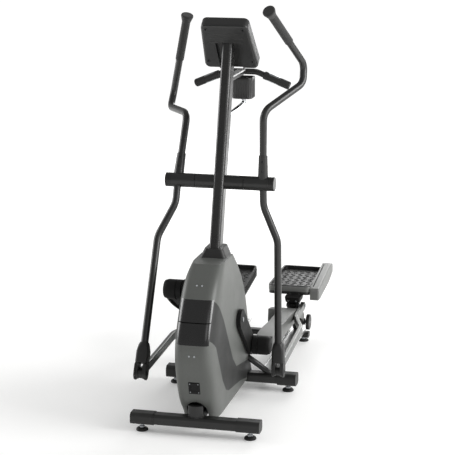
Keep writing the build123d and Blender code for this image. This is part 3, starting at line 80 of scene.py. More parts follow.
def moulded(name, dark, light, grit_mm, relief_mm, roughness, spread=0.06, cloud_mm=70, **fixed):
    """A sprayed or moulded skin: two near shades in clouds and grit, fine relief, uneven gloss."""
    material = bpy.data.materials.new(name)
    material.use_nodes = True
    skin = material.node_tree.nodes["Principled BSDF"]
    place = add_node(material, "ShaderNodeTexCoord").outputs["Object"]
    cloud = add_node(
        material, "ShaderNodeTexNoise",
        {"Scale": 1 / (cloud_mm * MM), "Detail": 5.0, "Roughness": 0.6}, {"Vector": place},
    )
    grit = add_node(
        material, "ShaderNodeTexNoise",
        {"Scale": 1 / (grit_mm * MM), "Detail": 3.0, "Roughness": 0.65}, {"Vector": place},
    )
    both = add_node(
        material, "ShaderNodeMath", {"operation": "MULTIPLY_ADD", 1: 0.4},
        {0: cloud.outputs["Fac"], 2: grit.outputs["Fac"]},
    )
    share = add_node(
        material, "ShaderNodeMapRange", {"From Min": 0.4, "From Max": 1.0}, {"Value": both.outputs[0]}
    )
    shade = add_node(
        material, "ShaderNodeMix", {"data_type": "RGBA", 6: linear(dark), 7: linear(light)},
        {0: share.outputs["Result"]},
    )
    gloss = add_node(
        material, "ShaderNodeMapRange",
        {"From Min": 0.3, "From Max": 0.7, "To Min": roughness - spread, "To Max": roughness + spread},
        {"Value": cloud.outputs["Fac"]},
    )
    relief = add_node(
        material, "ShaderNodeBump", {"Distance": relief_mm * MM, "Strength": 0.6},
        {"Height": grit.outputs["Fac"]},
    )
    for key, source in (
        ("Base Color", shade.outputs[2]), ("Roughness", gloss.outputs["Result"]),
        ("Normal", relief.outputs["Normal"]),
    ):
        material.node_tree.links.new(source, skin.inputs[key])
    for key, value in fixed.items():
        skin.inputs[key.replace("_", " ")].default_value = value
    return material


def dress(material, *names, edge_mm=0.0):
    """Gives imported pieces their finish, and rounds their hard corners by edge_mm."""
    for name in names:
        piece = frame["nodes"][name]
        for slot in piece.material_slots:
            slot.material = material
        if edge_mm:
            weld = piece.modifiers.new("joined_faces", "WELD")
            weld.merge_threshold = 0.01 * MM
            bevel = piece.modifiers.new("eased_edges", "BEVEL")
            bevel.width = edge_mm * MM
            bevel.segments = 2
            bevel.limit_method = "ANGLE"
            bevel.angle_limit = radians(38)
            bevel.use_clamp_overlap = True
            normals = piece.modifiers.new("even_shading", "WEIGHTED_NORMAL")
            normals.keep_sharp = True


# powder grit is 0.05 mm; it is drawn at 2.6 mm so that the speckle shows at all
powder_coat = moulded(
    "charcoal_powder_coat", "#191919", "#212120", 2.6, 0.03, 0.36, Specular_IOR_Level=0.45,
)
dress(powder_coat, "front_stabilizer", "mid_crossbar", "rear_crossbar")

# ---- end caps ------------------------------------------------------------------------------------
# Injection moulded polypropylene caps slide over the tube ends. Their spark-eroded grain scatters
# light, so they look a shade flatter and blacker than the painted steel beside them. Such grain is
# about 0.2 mm wide. It is drawn 1.6 to 2.4 mm wide on every grained moulding, so that it shows.
black_moulding = moulded("grained_black_polypropylene", "#131313", "#1d1d1c", 1.8, 0.09, 0.5, IOR=1.49)
dress(black_moulding, "front_stabilizer_caps", "crossbar_caps", edge_mm=3.0)

# ---- levelling feet ------------------------------------------------------------------------------
# Six screw feet: soft rubber pads with a stepped rim on zinc plated studs. The front and middle ones
# are taller, with a hexagon nut that sets the height. The rubber is dull and takes no highlight.
PAD_PROFILE = [
    (23.0, 0.0), (25.0, 1.5), (25.0, 6.0), (23.6, 7.4), (23.6, 8.8), (21.0, 11.0), (15.5, 12.6), (12.5, 13.0),
]
NUT_PROFILE = [(11.0, 12.8), (12.0, 13.6), (12.0, 20.0), (11.0, 20.8)]
STUD_PROFILE = [(6.0, 13.0), (6.0, 28.6)]
SMALL_PAD_PROFILE = [(23.0, 0.0), (25.0, 1.5), (25.0, 5.0), (22.5, 8.0), (13.5, 9.4), (12.5, 9.6)]
SMALL_STUD_PROFILE = [(9.0, 9.4), (9.0, 19.6)]


def stack_rings(mesh, rings):
    """Skins rings of equal length one after another, and closes the first and the last."""
    count = len(rings[0])
    made = [[mesh.verts.new(point) for point in ring] for ring in rings]
    for low, high in zip(made, made[1:]):
        for a in range(count):
            b = (a + 1) % count
            mesh.faces.new((low[a], low[b], high[b], high[a]))
    mesh.faces.new(list(reversed(made[0])))
    mesh.faces.new(made[-1])


def turn(mesh, profile, place, flats=0, flat_from=0, steps=36):
    """Turns a (radius, height) profile in mm round the place's Z. Rings from flat_from on have flats."""
    rings = []
    for index, (radius, height) in enumerate(profile):
        ring = []
        for step in range(steps):
            angle = 2 * pi * step / steps
            reach = radius * MM
            if flats and index >= flat_from:
                reach *= cos(pi / flats) / cos(angle % (2 * pi / flats) - pi / flats)
            ring.append(place @ Vector((reach * cos(angle), reach * sin(angle), height * MM)))
        rings.append(ring)
    stack_rings(mesh, rings)


def make_piece(name, mesh, material, body):
    """Turns a bmesh into a smooth-shaded piece that rides on a body."""
    bmesh.ops.recalc_face_normals(mesh, faces=mesh.faces)
    data = bpy.data.meshes.new(name)
    mesh.to_mesh(data)
    mesh.free()
    data.polygons.foreach_set("use_smooth", [True] * len(data.polygons))
    data.set_sharp_from_angle(angle=radians(34))
    data.materials.append(material)
    piece = bpy.data.objects.new(name, data)
    bpy.context.scene.collection.objects.link(piece)
    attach(piece, body)
    return piece


foot_rubber = moulded("moulded_foot_rubber", "#0c0c0c", "#151514", 2.0, 0.12, 0.72, IOR=1.52)
zinc_plate = moulded(
    "bright_zinc_plate", "#8f9296", "#b4b7ba", 1.2, 0.02, 0.28, cloud_mm=12, Metallic=1.0,
)
PAD_RADIUS = 0.025
feet_low, feet_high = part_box("levelling_feet")
mid_low, mid_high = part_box("mid_crossbar")
front_row = (0.228, feet_low.y + PAD_RADIUS, True)
middle_row = (0.256, (mid_low.y + mid_high.y) / 2, True)
rear_row = (0.178, feet_high.y - PAD_RADIUS, False)
pads, nuts, studs = bmesh.new(), bmesh.new(), bmesh.new()
for half_apart, foot_y, tall in (front_row, middle_row, rear_row):
    for side in (-1, 1):
        foot_place = Matrix.Translation((side * half_apart, foot_y, 0))
        turn(pads, PAD_PROFILE if tall else SMALL_PAD_PROFILE, foot_place)
        if tall:
            turn(nuts, NUT_PROFILE, foot_place, flats=6)
        turn(studs, STUD_PROFILE if tall else SMALL_STUD_PROFILE, foot_place)
foot_pads = make_piece("foot_pads", pads, foot_rubber, "frame")
make_piece("foot_nuts", nuts, zinc_plate, "frame")
make_piece("foot_studs", studs, zinc_plate, "frame")
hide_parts("levelling_feet")

# ---- main frame ----------------------------------------------------------------------------------
# A welded steel spine with an oval post on the front bar, an upright for the crank bearing, a rear
# gusset and two braces. The weld bead round the post shows as small overlapping ripples.
dress(powder_coat, "main_frame", "rail_carriers")
POST_HALF_X, POST_HALF_Y, BEAD_MM = 31.0, 23.0, 3.2
RIPPLE_COUNT, RIPPLE_SHARE, BEAD_SIDES = 64, 0.18, 8
bar_low, bar_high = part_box("front_stabilizer")
post_y = (bar_low.y + bar_high.y) / 2
bead = bmesh.new()
bead_rings = []
for step in range(RIPPLE_COUNT * 3):
    angle = 2 * pi * step / (RIPPLE_COUNT * 3)
    swell = BEAD_MM * (1 - RIPPLE_SHARE + RIPPLE_SHARE * cos(angle * RIPPLE_COUNT))
    centre = Vector((POST_HALF_X * cos(angle), POST_HALF_Y * sin(angle), 0)) * MM
    outward = Vector((cos(angle) / POST_HALF_X, sin(angle) / POST_HALF_Y, 0)).normalized()
    bead_rings.append([
        Vector((0, post_y, bar_high.z)) + centre
        + (outward * cos(turned) + Vector((0, 0, 1)) * sin(turned)) * swell * MM
        for turned in (2 * pi * k / BEAD_SIDES for k in range(BEAD_SIDES))
    ])
made = [[bead.verts.new(point) for point in ring] for ring in bead_rings]
for ring, following in zip(made, made[1:] + made[:1]):
    for a in range(BEAD_SIDES):
        b = (a + 1) % BEAD_SIDES
        bead.faces.new((ring[a], ring[b], following[b], following[a]))
make_piece("post_weld_bead", bead, powder_coat, "frame")

# ---- roller rails --------------------------------------------------------------------------------
# Two flat aluminium extrusions with low lips, drawn lengthwise and clear anodised. The die leaves
# fine lines along the rail, so highlights stretch across it. Hexagon socket screws hold the ends.
DIE_LINE_MM = 1.4  # real lines are 0.1 mm apart, drawn coarser to show, as on all the brushed metals


def brushed(name, dark, light, along, line_mm, roughness, streak=60.0, **fixed):
    """Bare or anodised metal with fine lines along one axis, x, y or z."""
    material = bpy.data.materials.new(name)
    material.use_nodes = True
    skin = material.node_tree.nodes["Principled BSDF"]
    place = add_node(material, "ShaderNodeTexCoord").outputs["Object"]
    stretch = [1.0, 1.0, 1.0]
    stretch["xyz".index(along)] = 1 / streak
    drawn = add_node(material, "ShaderNodeMapping", {"Scale": stretch}, {"Vector": place})
    lines = add_node(
        material, "ShaderNodeTexNoise",
        {"Scale": 1 / (line_mm * MM), "Detail": 3.0, "Roughness": 0.7}, {"Vector": drawn.outputs["Vector"]},
    )
    shade = add_node(
        material, "ShaderNodeMix", {"data_type": "RGBA", 6: linear(dark), 7: linear(light)},
        {0: lines.outputs["Fac"]},
    )
    gloss = add_node(
        material, "ShaderNodeMapRange",
        {"From Min": 0.3, "From Max": 0.7, "To Min": roughness - 0.07, "To Max": roughness + 0.09},
        {"Value": lines.outputs["Fac"]},
    )
    relief = add_node(
        material, "ShaderNodeBump", {"Distance": 0.02 * MM, "Strength": 0.5}, {"Height": lines.outputs["Fac"]}
    )
    for key, source in (
        ("Base Color", shade.outputs[2]), ("Roughness", gloss.outputs["Result"]),
        ("Normal", relief.outputs["Normal"]),
    ):
        material.node_tree.links.new(source, skin.inputs[key])
    skin.inputs["Metallic"].default_value = 1.0
    for key, value in fixed.items():
        skin.inputs[key.replace("_", " ")].default_value = value
    return material


rail_aluminium = brushed("anodised_rail_aluminium", "#c4c5c4", "#e4e5e4", "y", DIE_LINE_MM, 0.32)
dress(rail_aluminium, "roller_rails", edge_mm=0.8)
RAIL_SCREW = [(5.6, 0.0), (5.6, 0.35), (5.0, 0.6), (2.6, 0.6), (2.6, 0.2), (0.4, 0.2)]
RAIL_MIDDLE_X, RAIL_LIP_MM, SCREW_FROM_END, SCREW_PITCH = 0.149, 5, 0.022, 0.040
rail_low, rail_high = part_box("roller_rails")
rail_face = rail_high.z - RAIL_LIP_MM * MM
rail_end = rail_high.y - SCREW_FROM_END
rail_screws = bmesh.new()
for side in (-1, 1):
    for along in (rail_low.y + SCREW_FROM_END, rail_end, rail_end - SCREW_PITCH):
        screw_place = Matrix.Translation((side * RAIL_MIDDLE_X, along, rail_face))
        turn(rail_screws, RAIL_SCREW, screw_place, flats=6, flat_from=3)
make_piece("rail_screws", rail_screws, zinc_plate, "frame")

# ---- mast and collar -----------------------------------------------------------------------------
# The mast is a deep steel tube with rounded corners, leaned back and sprayed in a smoother charcoal
# coat than the frame, so a soft light runs down each corner. A moulded trapezoid collar covers the
# gap where it leaves the shells, and its facets catch the light one by one.
mast_coat = moulded(
    "speckled_charcoal_mast_coat", "#171717", "#232322", 2.2, 0.015, 0.28,
    cloud_mm=60, Specular_IOR_Level=0.5,
)
dress(mast_coat, "mast")
collar_moulding = moulded("satin_charcoal_collar", "#1c1c1b", "#272726", 1.8, 0.06, 0.4, IOR=1.49)
dress(collar_moulding, "mast_collar", edge_mm=1.6)

# ---- drive inside the shells ---------------------------------------------------------------------
# A nylon pulley drives a small cast iron flywheel through a ribbed belt. None of it shows from
# outside, and each piece has its plain working finish: machined, blackened, moulded or rubbery.
cast_iron = moulded("blackened_cast_iron", "#26272a", "#3c3d40", 1.5, 0.12, 0.55, Metallic=1.0)
nylon = moulded("moulded_black_nylon", "#1a1a1a", "#282828", 2.0, 0.05, 0.45, IOR=1.53)
belt_rubber = moulded("belt_rubber", "#121212", "#1d1d1d", 2.4, 0.1, 0.75, IOR=1.52)
ground_steel = brushed("ground_axle_steel", "#8d9093", "#b5b8bb", "x", 0.8, 0.25)
dress(cast_iron, "flywheel", "brake_shoe", edge_mm=0.8)
dress(nylon, "drive_pulley", "idler_wheel", "brake_servo", edge_mm=0.8)
dress(belt_rubber, "drive_belt")
dress(ground_steel, "crank_axle", "crank_bearings", "pivot_axle")

# ---- drive housing -------------------------------------------------------------------------------
# Two ABS shells, left and right, screwed together round the frame. The tool gives a fine leather
# grain over mid grey plastic, so the broad faces stay soft and only the ridges shine a little.
housing_abs = moulded(
    "grained_grey_housing_abs", "#535552", "#5c5e5b", 2.4, 0.05, 0.46, cloud_mm=160, IOR=1.5,
)
dress(housing_abs, "housing_right", "housing_left")

# ---- smoked band and swoosh panels ---------------------------------------------------------------
# A glossy smoked band is clipped into the nose in two lengths. Behind it, darker panels sweep down
# each side to the rear foot. The band is clear coated black ABS, the panels satin grey ABS.
band_gloss = moulded(
    "polished_smoked_band", "#0d0d0d", "#141414", 5.0, 0.008, 0.24, spread=0.04,
    IOR=1.5, Coat_Weight=0.35, Coat_Roughness=0.2,
)
dress(band_gloss, "front_band")
panel_abs = moulded("satin_dark_panel_abs", "#212221", "#282928", 2.4, 0.05, 0.52, cloud_mm=140, IOR=1.42)
dress(panel_abs, "side_panels")

# ---- shell screws --------------------------------------------------------------------------------
# Four pan head screws close the two shells on the nose, in pairs. They are bright zinc with a
# hexagon socket pressed into each head.
SCREW_HEAD = [(3.5, -1.0), (3.5, 0.6), (3.1, 1.3), (2.4, 1.8), (1.8, 1.9), (1.8, 0.8), (0.3, 0.8)]
dress(zinc_plate, "housing_screws")


def facing(point, direction):
    """A place whose Z points along direction."""
    return Matrix.Translation(point) @ Vector(direction).to_track_quat("Z", "Y").to_matrix().to_4x4()


SCREW_HALF_APART, HEAD_DEPTH = 0.011, 0.4 * MM
lower_pair = (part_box("housing_screws")[0].y + 1.5 * MM, 0.35)
upper_pair = (-0.744, 0.61)
nose_screws = bmesh.new()
for screw_y, screw_z in (lower_pair, upper_pair):
    for side in (-1, 1):
        spot = facing((side * SCREW_HALF_APART, screw_y + HEAD_DEPTH, screw_z), (0, -1, 0))
        turn(nose_screws, SCREW_HEAD, spot, flats=6, flat_from=4)
make_piece("nose_screws", nose_screws, zinc_plate, "frame")

# ---- power inlet ---------------------------------------------------------------------------------
# A black square inlet plate low on the nose takes the power plug. It has a raised rim, a recessed
# socket with two contact pins and four bright screws in its corners. The matt plastic reads as a
# dark hole beside the grey shell.
socket_plastic = moulded(
    "matt_black_inlet_plastic", "#070707", "#0d0d0d", 1.8, 0.05, 0.6, Specular_IOR_Level=0.3,
)
dress(socket_plastic, "inlet_plate", edge_mm=0.8)
inlet_low, inlet_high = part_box("inlet_plate")
inlet_middle = (inlet_low + inlet_high) / 2


def rounded_outline(half_x, half_y, radius, corner_steps=6):
    """Points in mm round a rectangle with rounded corners."""
    points = []
    for cx, cy, start in ((1, 1, 0), (-1, 1, 90), (-1, -1, 180), (1, -1, 270)):
        for step in range(corner_steps + 1):
            angle = radians(start + 90 * step / corner_steps)
            x = cx * (half_x - radius) + radius * cos(angle)
            points.append((x, cy * (half_y - radius) + radius * sin(angle)))
    return points


def framed_plate(mesh, place, levels):
    """Stacks rounded rectangles (half_x, half_y, radius, height), all in mm, into one solid."""
    rings = []
    for half_x, half_y, radius, height in levels:
        outline = rounded_outline(half_x, half_y, radius)
        rings.append([place @ Vector((x * MM, y * MM, height * MM)) for x, y in outline])
    stack_rings(mesh, rings)


inlet_lean = Vector((0, -1, -0.31))
inlet_face = facing((0, inlet_low.y + 8.0 * MM, inlet_middle.z), inlet_lean)
socket_mesh = bmesh.new()
framed_plate(socket_mesh, inlet_face, [
    (22, 25, 3, -3), (22, 25, 3, 1.6), (21, 24, 2.6, 2.4), (15, 14, 3, 2.4), (14, 13, 2.6, -5.0),
])
make_piece("inlet_socket", socket_mesh, socket_plastic, "frame")
CONTACT_PIN = [(1.6, 0.0), (1.6, 4.4), (1.1, 5.2)]
CORNER_SCREW = [(2.6, 0.0), (2.6, 1.2), (2.0, 1.8), (1.2, 1.8), (1.2, 1.0), (0.2, 1.0)]
PIN_X_MM, SOCKET_FLOOR_MM = 5, -5
CORNER_X_MM, CORNER_Y_MM, CORNER_FACE_MM = 17.4, 20, 1.4
pins = bmesh.new()
for side in (-1, 1):
    pin_place = inlet_face @ Matrix.Translation((side * PIN_X_MM * MM, 0, SOCKET_FLOOR_MM * MM))
    turn(pins, CONTACT_PIN, pin_place, steps=20)
for side_x in (-1, 1):
    for side_z in (-1, 1):
        corner = Vector((side_x * CORNER_X_MM, side_z * CORNER_Y_MM, CORNER_FACE_MM)) * MM
        screw_place = inlet_face @ Matrix.Translation(corner)
        turn(pins, CORNER_SCREW, screw_place, flats=6, flat_from=3, steps=24)
make_piece("inlet_pins_and_screws", pins, zinc_plate, "frame")

# ---- cranks --------------------------------------------------------------------------------------
# Each crank is a flat forged arm in a moulded black cover, with a shallow recess on its inner face. A
# hexagon bolt pulls it onto the axle, and the foot link turns on its outer end. The black is a low
# sheen one, so the arm stays dark against the grey shell.
crank_moulding = moulded(
    "satin_black_crank_cover", "#0d0d0d", "#151514", 2.0, 0.06, 0.58, Specular_IOR_Level=0.2,
)
dress(crank_moulding, "crank_arms", edge_mm=3.0)

# ---- foot links ----------------------------------------------------------------------------------
# A black link runs from the crank pin to the rail roller. Its bearing housing has a groove and a
# stepped cap, and a silver-grey painted hood covers most of its length and widens under the pedal.
# The paint holds a little metal flake, which lifts its broad faces above the plain grey shells.
dress(crank_moulding, "right_link_beam", "left_link_beam", edge_mm=1.5)
hood_paint = moulded(
    "silver_grey_hood_paint", "#636462", "#70716f", 2.6, 0.03, 0.4, cloud_mm=120, IOR=1.5, Metallic=0.2,
)
dress(hood_paint, "right_link_cover", "left_link_cover", edge_mm=2.4)
SIDES = ((1, "right"), (-1, "left"))
LINK_LENGTH, HUB_FACE_X = 0.838, 0.184
LINK_DROP = {"right": radians(8.7), "left": radians(33.183)}
HUB_CAP = [(36.5, -1.0), (36.5, 0.0), (33.0, 2.4), (12.0, 3.4), (11.0, 2.2), (0.4, 2.2)]
joint = {j["name"]: j for j in frame["joints"]}
for side, side_name in SIDES:
    drop = LINK_DROP[side_name]
    roller_y, roller_z = joint[f"{side_name}_link_pitch"]["pos_m"][1:]
    hub_y, hub_z = roller_y - LINK_LENGTH * cos(drop), roller_z + LINK_LENGTH * sin(drop)
    hub_end = facing((side * HUB_FACE_X, hub_y, hub_z), (side, 0, 0))
    cap = bmesh.new()
    turn(cap, HUB_CAP, hub_end, steps=64)
    make_piece(f"{side_name}_hub_cap", cap, crank_moulding, f"{side_name}_link")

# ---- rollers -------------------------------------------------------------------------------------
# Polyurethane wheels run on the rails on a zinc plated bolt. Their treads are slightly crowned and
# satin black, with a dull hub.
roller_tyre = moulded("roller_polyurethane", "#0e0e0e", "#181817", 2.2, 0.06, 0.42, IOR=1.5)
dress(roller_tyre, "right_roller", "left_roller", edge_mm=3.0)
dress(zinc_plate, "right_roller_axle", "left_roller_axle")

# ---- pedals --------------------------------------------------------------------------------------
# Large black trays with raised lips, moulded in glass-filled nylon, whose fibres dull the skin. Short
# raised bars in rows turned one way and the other hold the shoe. They are a softer compound, coloured
# paler than the tray as a painted highlight for the light their tops catch, and slanted ribs stiffen the
# inner wall.
TREAD_LENGTH_MM, TREAD_WIDTH_MM, TREAD_RISE_MM = 22.0, 5.0, 2.2
TREAD_ROWS, ROW_PITCH_MM, FIRST_ROW_MM = 14, 25.0, 62
TREAD_COLUMNS, COLUMN_PITCH_MM, FIRST_COLUMN_MM, COLUMN_SHIFT_MM = 5, 34.0, 52, 7.5
TRAY_FLOOR_MM, TREAD_SLANT = 70, radians(32)
RIB_COUNT, RIB_STEP_MM, FIRST_RIB_MM, INNER_WALL_MM, RIB_HEIGHT_MM = 15, 23.5, 64, 20, 66
HINGE_MIDDLE_MM, HINGE_HALF_MM = 149, 31
HINGE_BOLT = [(11.5, -3.0), (11.5, -1.2), (9.0, -1.0), (9.0, 1.2), (8.0, 2.0), (0.5, 2.0)]
tray_nylon = moulded("pedal_tray_nylon", "#111111", "#1b1b1a", 1.8, 0.1, 0.46, IOR=1.53)
# the tread bars' paler colour is a painted highlight standing in for the light on their tops
tread_with_painted_highlight = moulded("pedal_tread_grip", "#262625", "#363635", 1.6, 0.12, 0.58, IOR=1.5)
dress(tray_nylon, "right_pedal", "left_pedal", edge_mm=1.5)


def pedal_hinge(side_name):
    """The pedal's own place at rest: origin on its hinge, Y along its floor."""
    slope = radians(0.0 if side_name == "right" else 8.0)
    hinge = Vector(joint[f"{side_name}_pedal_tilt"]["pos_m"])
    return Matrix.Translation(hinge) @ Matrix.Rotation(slope, 4, "X")


for side, side_name in SIDES:
    pedal_place = pedal_hinge(side_name)
    treads = bmesh.new()
    for row in range(TREAD_ROWS):
        for column in range(TREAD_COLUMNS):
            shift = COLUMN_SHIFT_MM if row % 2 else 0
            spot_x = side * (FIRST_COLUMN_MM + COLUMN_PITCH_MM * column + shift)
            spot_y = FIRST_ROW_MM + ROW_PITCH_MM * row
            slant = Matrix.Rotation(TREAD_SLANT if (row + column) % 2 else -TREAD_SLANT, 4, "Z")
            spot = Matrix.Translation((spot_x * MM, spot_y * MM, TRAY_FLOOR_MM * MM))
            place = pedal_place @ spot @ slant
            half_l, half_w = TREAD_LENGTH_MM / 2, TREAD_WIDTH_MM / 2
            framed_plate(treads, place, [
                (half_l, half_w, 2.4, -0.5), (half_l, half_w, 2.4, TREAD_RISE_MM - 0.9),
                (half_l - 0.9, half_w - 0.9, 1.5, TREAD_RISE_MM),
            ])
    make_piece(f"{side_name}_pedal_treads", treads, tread_with_painted_highlight, f"{side_name}_pedal")
    ribs = bmesh.new()
    for step in range(RIB_COUNT):
        along = FIRST_RIB_MM + RIB_STEP_MM * step
        spot = Matrix.Translation((side * INNER_WALL_MM * MM, along * MM, RIB_HEIGHT_MM * MM))
        across = Matrix.Rotation(radians(-90 * side), 4, "Y")
        place = pedal_place @ spot @ across @ Matrix.Rotation(radians(24 * side), 4, "Z")
        framed_plate(ribs, place, [(15, 1.8, 1.5, -0.4), (15, 1.8, 1.5, 1.0), (14.2, 1.0, 0.8, 1.6)])
    make_piece(f"{side_name}_pedal_ribs", ribs, tray_nylon, f"{side_name}_pedal")
    bolts = bmesh.new()
    for out in (1, -1):
        centre = Vector((side * (HINGE_MIDDLE_MM + HINGE_HALF_MM * out) * MM, 0, 0))
        place = pedal_place @ facing(centre, (side * out, 0, 0))
        turn(bolts, HINGE_BOLT, place, flats=6, flat_from=2)
    make_piece(f"{side_name}_pedal_bolts", bolts, zinc_plate, f"{side_name}_pedal")

# ---- pedal skirts and brackets -------------------------------------------------------------------
# A silver-grey painted skirt is clipped round the front of each tray, and under it a black cast
# bracket carries the tray on the link. Two bright bolts hold the bracket from in front.
SKIRT_WALL_MM, SKIRT_TOP_MM, SKIRT_DROP_MM = 2.0, 84.0, 26.0
BRACKET_FRONT_MM, BRACKET_BOLT_HALF_APART_MM, BRACKET_BOLT_HEIGHT_MM = -24.5, 19, 28
BRACKET_BOLT = [(5.4, -2.0), (5.4, 0.8), (4.6, 2.0), (2.4, 2.2), (2.4, 1.0), (0.3, 1.0)]
near, far, front, back, corner = 20.0, 223.0, 32.0, 150.0, 22.0
near_bend, far_bend, corner_back = near + corner, far - corner, front + corner
bend = [(corner * sin(radians(a)), corner * cos(radians(a))) for a in range(9, 90, 9)]
path = [(near, back), (near, corner_back)]
path += [(near_bend - flat, corner_back - deep) for deep, flat in bend]
path += [(near_bend, front), (far_bend, front)]
path += [(far_bend + deep, corner_back - flat) for deep, flat in bend]
path += [(far, corner_back), (far, back)]
for side, side_name in SIDES:
    pedal_place = pedal_hinge(side_name)
    skirt = bmesh.new()
    skirt_rings = []
    for index, (x, y) in enumerate(path):
        before, after = path[max(index - 1, 0)], path[min(index + 1, len(path) - 1)]
        outward = Vector((after[1] - before[1], before[0] - after[0])).normalized()
        # the skirt's lower edge sweeps up to nothing along the tray's sides
        fade = min(1.0, (back - y) / (back - corner_back) * 1.4 + 0.02) if y > corner_back else 1.0
        top, low = SKIRT_TOP_MM, SKIRT_TOP_MM - SKIRT_DROP_MM * fade
        section = [
            (0.0, top), (SKIRT_WALL_MM * 0.6, top - 0.6), (SKIRT_WALL_MM, top - 2.0),
            (SKIRT_WALL_MM, low + 3.0), (SKIRT_WALL_MM * 0.4, low), (-4.0, low - 1.0),
            (-4.0, low + 1.0), (0.0, low + 3.0),
        ]
        skirt_rings.append([
            pedal_place @ Vector((side * (x + outward.x * out) * MM, (y + outward.y * out) * MM, z * MM))
            for out, z in section
        ])
    stack_rings(skirt, skirt_rings)
    make_piece(f"{side_name}_pedal_skirt", skirt, hood_paint, f"{side_name}_pedal")
    block = bmesh.new()
    block_place = pedal_place @ Matrix.Translation((side * HINGE_MIDDLE_MM * MM, 22 * MM, 0))
    framed_plate(block, block_place, [
        (30, 42, 8, 17.0), (34, 46, 10, 20.0), (36, 48, 10, 30.0), (38, 52, 12, 44.6),
    ])
    make_piece(f"{side_name}_pedal_bracket", block, crank_moulding, f"{side_name}_pedal")
    block_bolts = bmesh.new()
    for across in (-BRACKET_BOLT_HALF_APART_MM, BRACKET_BOLT_HALF_APART_MM):
        bolt_x = side * (HINGE_MIDDLE_MM + across)
        spot = Vector((bolt_x, BRACKET_FRONT_MM, BRACKET_BOLT_HEIGHT_MM)) * MM
        turn(block_bolts, BRACKET_BOLT, pedal_place @ facing(spot, (0, -1, 0.12)), flats=6, flat_from=4)
    make_piece(f"{side_name}_bracket_bolts", block_bolts, zinc_plate, f"{side_name}_pedal")

# ---- pedal guards --------------------------------------------------------------------------------
# A thick silver-grey moulding runs along the outer side of each tray and rises to the rear, so the
# shoe can't slip off. It is painted to match the hoods, with a thin dark rubber strip let in on top.
dress(hood_paint, "right_pedal_guard", "left_pedal_guard")
GUARD_SLOPE = radians(7.98)
STRIP_X_MM, STRIP_Y_MM, STRIP_Z_MM = 234, 204, 100.1
for side, side_name in SIDES:
    on_top = pedal_hinge(side_name) @ Matrix.Translation(
        (side * STRIP_X_MM * MM, STRIP_Y_MM * MM, STRIP_Z_MM * MM)
    )
    insert = bmesh.new()
    framed_plate(insert, on_top @ Matrix.Rotation(GUARD_SLOPE, 4, "X"), [
        (2.4, 146, 2.3, -0.8), (2.4, 146, 2.3, 0.3), (1.7, 145, 1.6, 0.7),
    ])
    make_piece(f"{side_name}_guard_insert", insert, foot_rubber, f"{side_name}_pedal")

# ---- control bars --------------------------------------------------------------------------------
# Rectangular aluminium bars, joggled sideways near their rear end, tie the feet of the handles to the
# pedals. They are drawn and satin clear anodised, with small corner radii that show as thin bright
# lines. A moulded knuckle wraps the front eye, and a bolt passes through the rear one.
CLEVIS_X_MM = 244
EYE_X_MM, EYE_HALF_MM = 196, 9.5
EYE_BOLT = [(10.5, -0.2), (10.5, 1.2), (8.2, 1.4), (8.2, 3.2), (7.2, 3.8), (0.5, 3.8)]
bar_aluminium = brushed("satin_control_bar_aluminium", "#6c6d6c", "#868785", "y", 1.6, 0.34)
dress(bar_aluminium, "right_control_bar", "left_control_bar", edge_mm=1.6)
for side, side_name in SIDES:
    pivot = Vector(joint[f"{side_name}_pedal_tilt"]["pos_m"])
    eye_bolt = bmesh.new()
    for out in (1, -1):
        eye_end = Vector((side * (EYE_X_MM + EYE_HALF_MM * out) * MM, 0, 0))
        turn(eye_bolt, EYE_BOLT, facing(pivot + eye_end, (side * out, 0, 0)), flats=6, flat_from=2)
    make_piece(
        f"{side_name}_bar_eye_bolt", eye_bolt, zinc_plate, f"{side_name}_control_bar"
    )
    foot = Vector(joint[f"{side_name}_bar_pivot"]["pos_m"])
    reach = pivot - foot
    reach.x = 0
    reach.normalize()
    lean = Matrix((
        (0, 0, 1, foot.x + side * CLEVIS_X_MM * MM),
        (reach.y, -reach.z, 0, foot.y),
        (reach.z, reach.y, 0, foot.z),
        (0, 0, 0, 1),
    ))
    knuckle = bmesh.new()
    framed_plate(knuckle, lean @ Matrix.Translation((16 * MM, 0, 0)), [
        (34.0, 17.6, 17, -10.2), (35.0, 18.6, 18, -9.4), (35.0, 18.6, 18, 9.4), (34.0, 17.6, 17, 10.2),
    ])
    make_piece(f"{side_name}_bar_knuckle", knuckle, black_moulding, f"{side_name}_control_bar")

# ---- handles -------------------------------------------------------------------------------------
# Bent steel tubes swing on a tube across the mast. The lower arm has a ribbed hub, a socket for the
# upper tube and a clevis at its foot, inside a moulded black cover. The smooth charcoal coat carries
# long soft highlights, and the bolts are dulled by black zinc.
REST_SWING, ARM_LEAN = radians(15.3), radians(-11.94)
CLEVIS_HALF_MM, CHEEK_MM = 27.6, 18.4
CLEVIS_BOLT = [(13.2, -3.0), (13.2, -0.4), (12.4, 0.0), (6.4, 0.0), (6.4, -2.4), (0.4, -2.4)]
SOCKET_SCREW = [(4.6, -1.2), (4.6, 0.4), (3.9, 1.2), (2.0, 1.3), (2.0, 0.2), (0.3, 0.2)]
SOCKET_X_MM, SOCKET_FACE_MM, SOCKET_SLOPE = 183.7, -20.6, 81 / 292
handle_coat = moulded(
    "satin_charcoal_handle_coat", "#181818", "#20201f", 2.4, 0.012, 0.34, Specular_IOR_Level=0.5,
)
dress(handle_coat, "right_handle_arm", "left_handle_arm")
dress(handle_coat, "right_handle_upper", "left_handle_upper", "pivot_sleeve")
black_zinc = moulded("black_zinc_bolt", "#232425", "#37383a", 1.4, 0.02, 0.3, cloud_mm=10, Metallic=1.0)
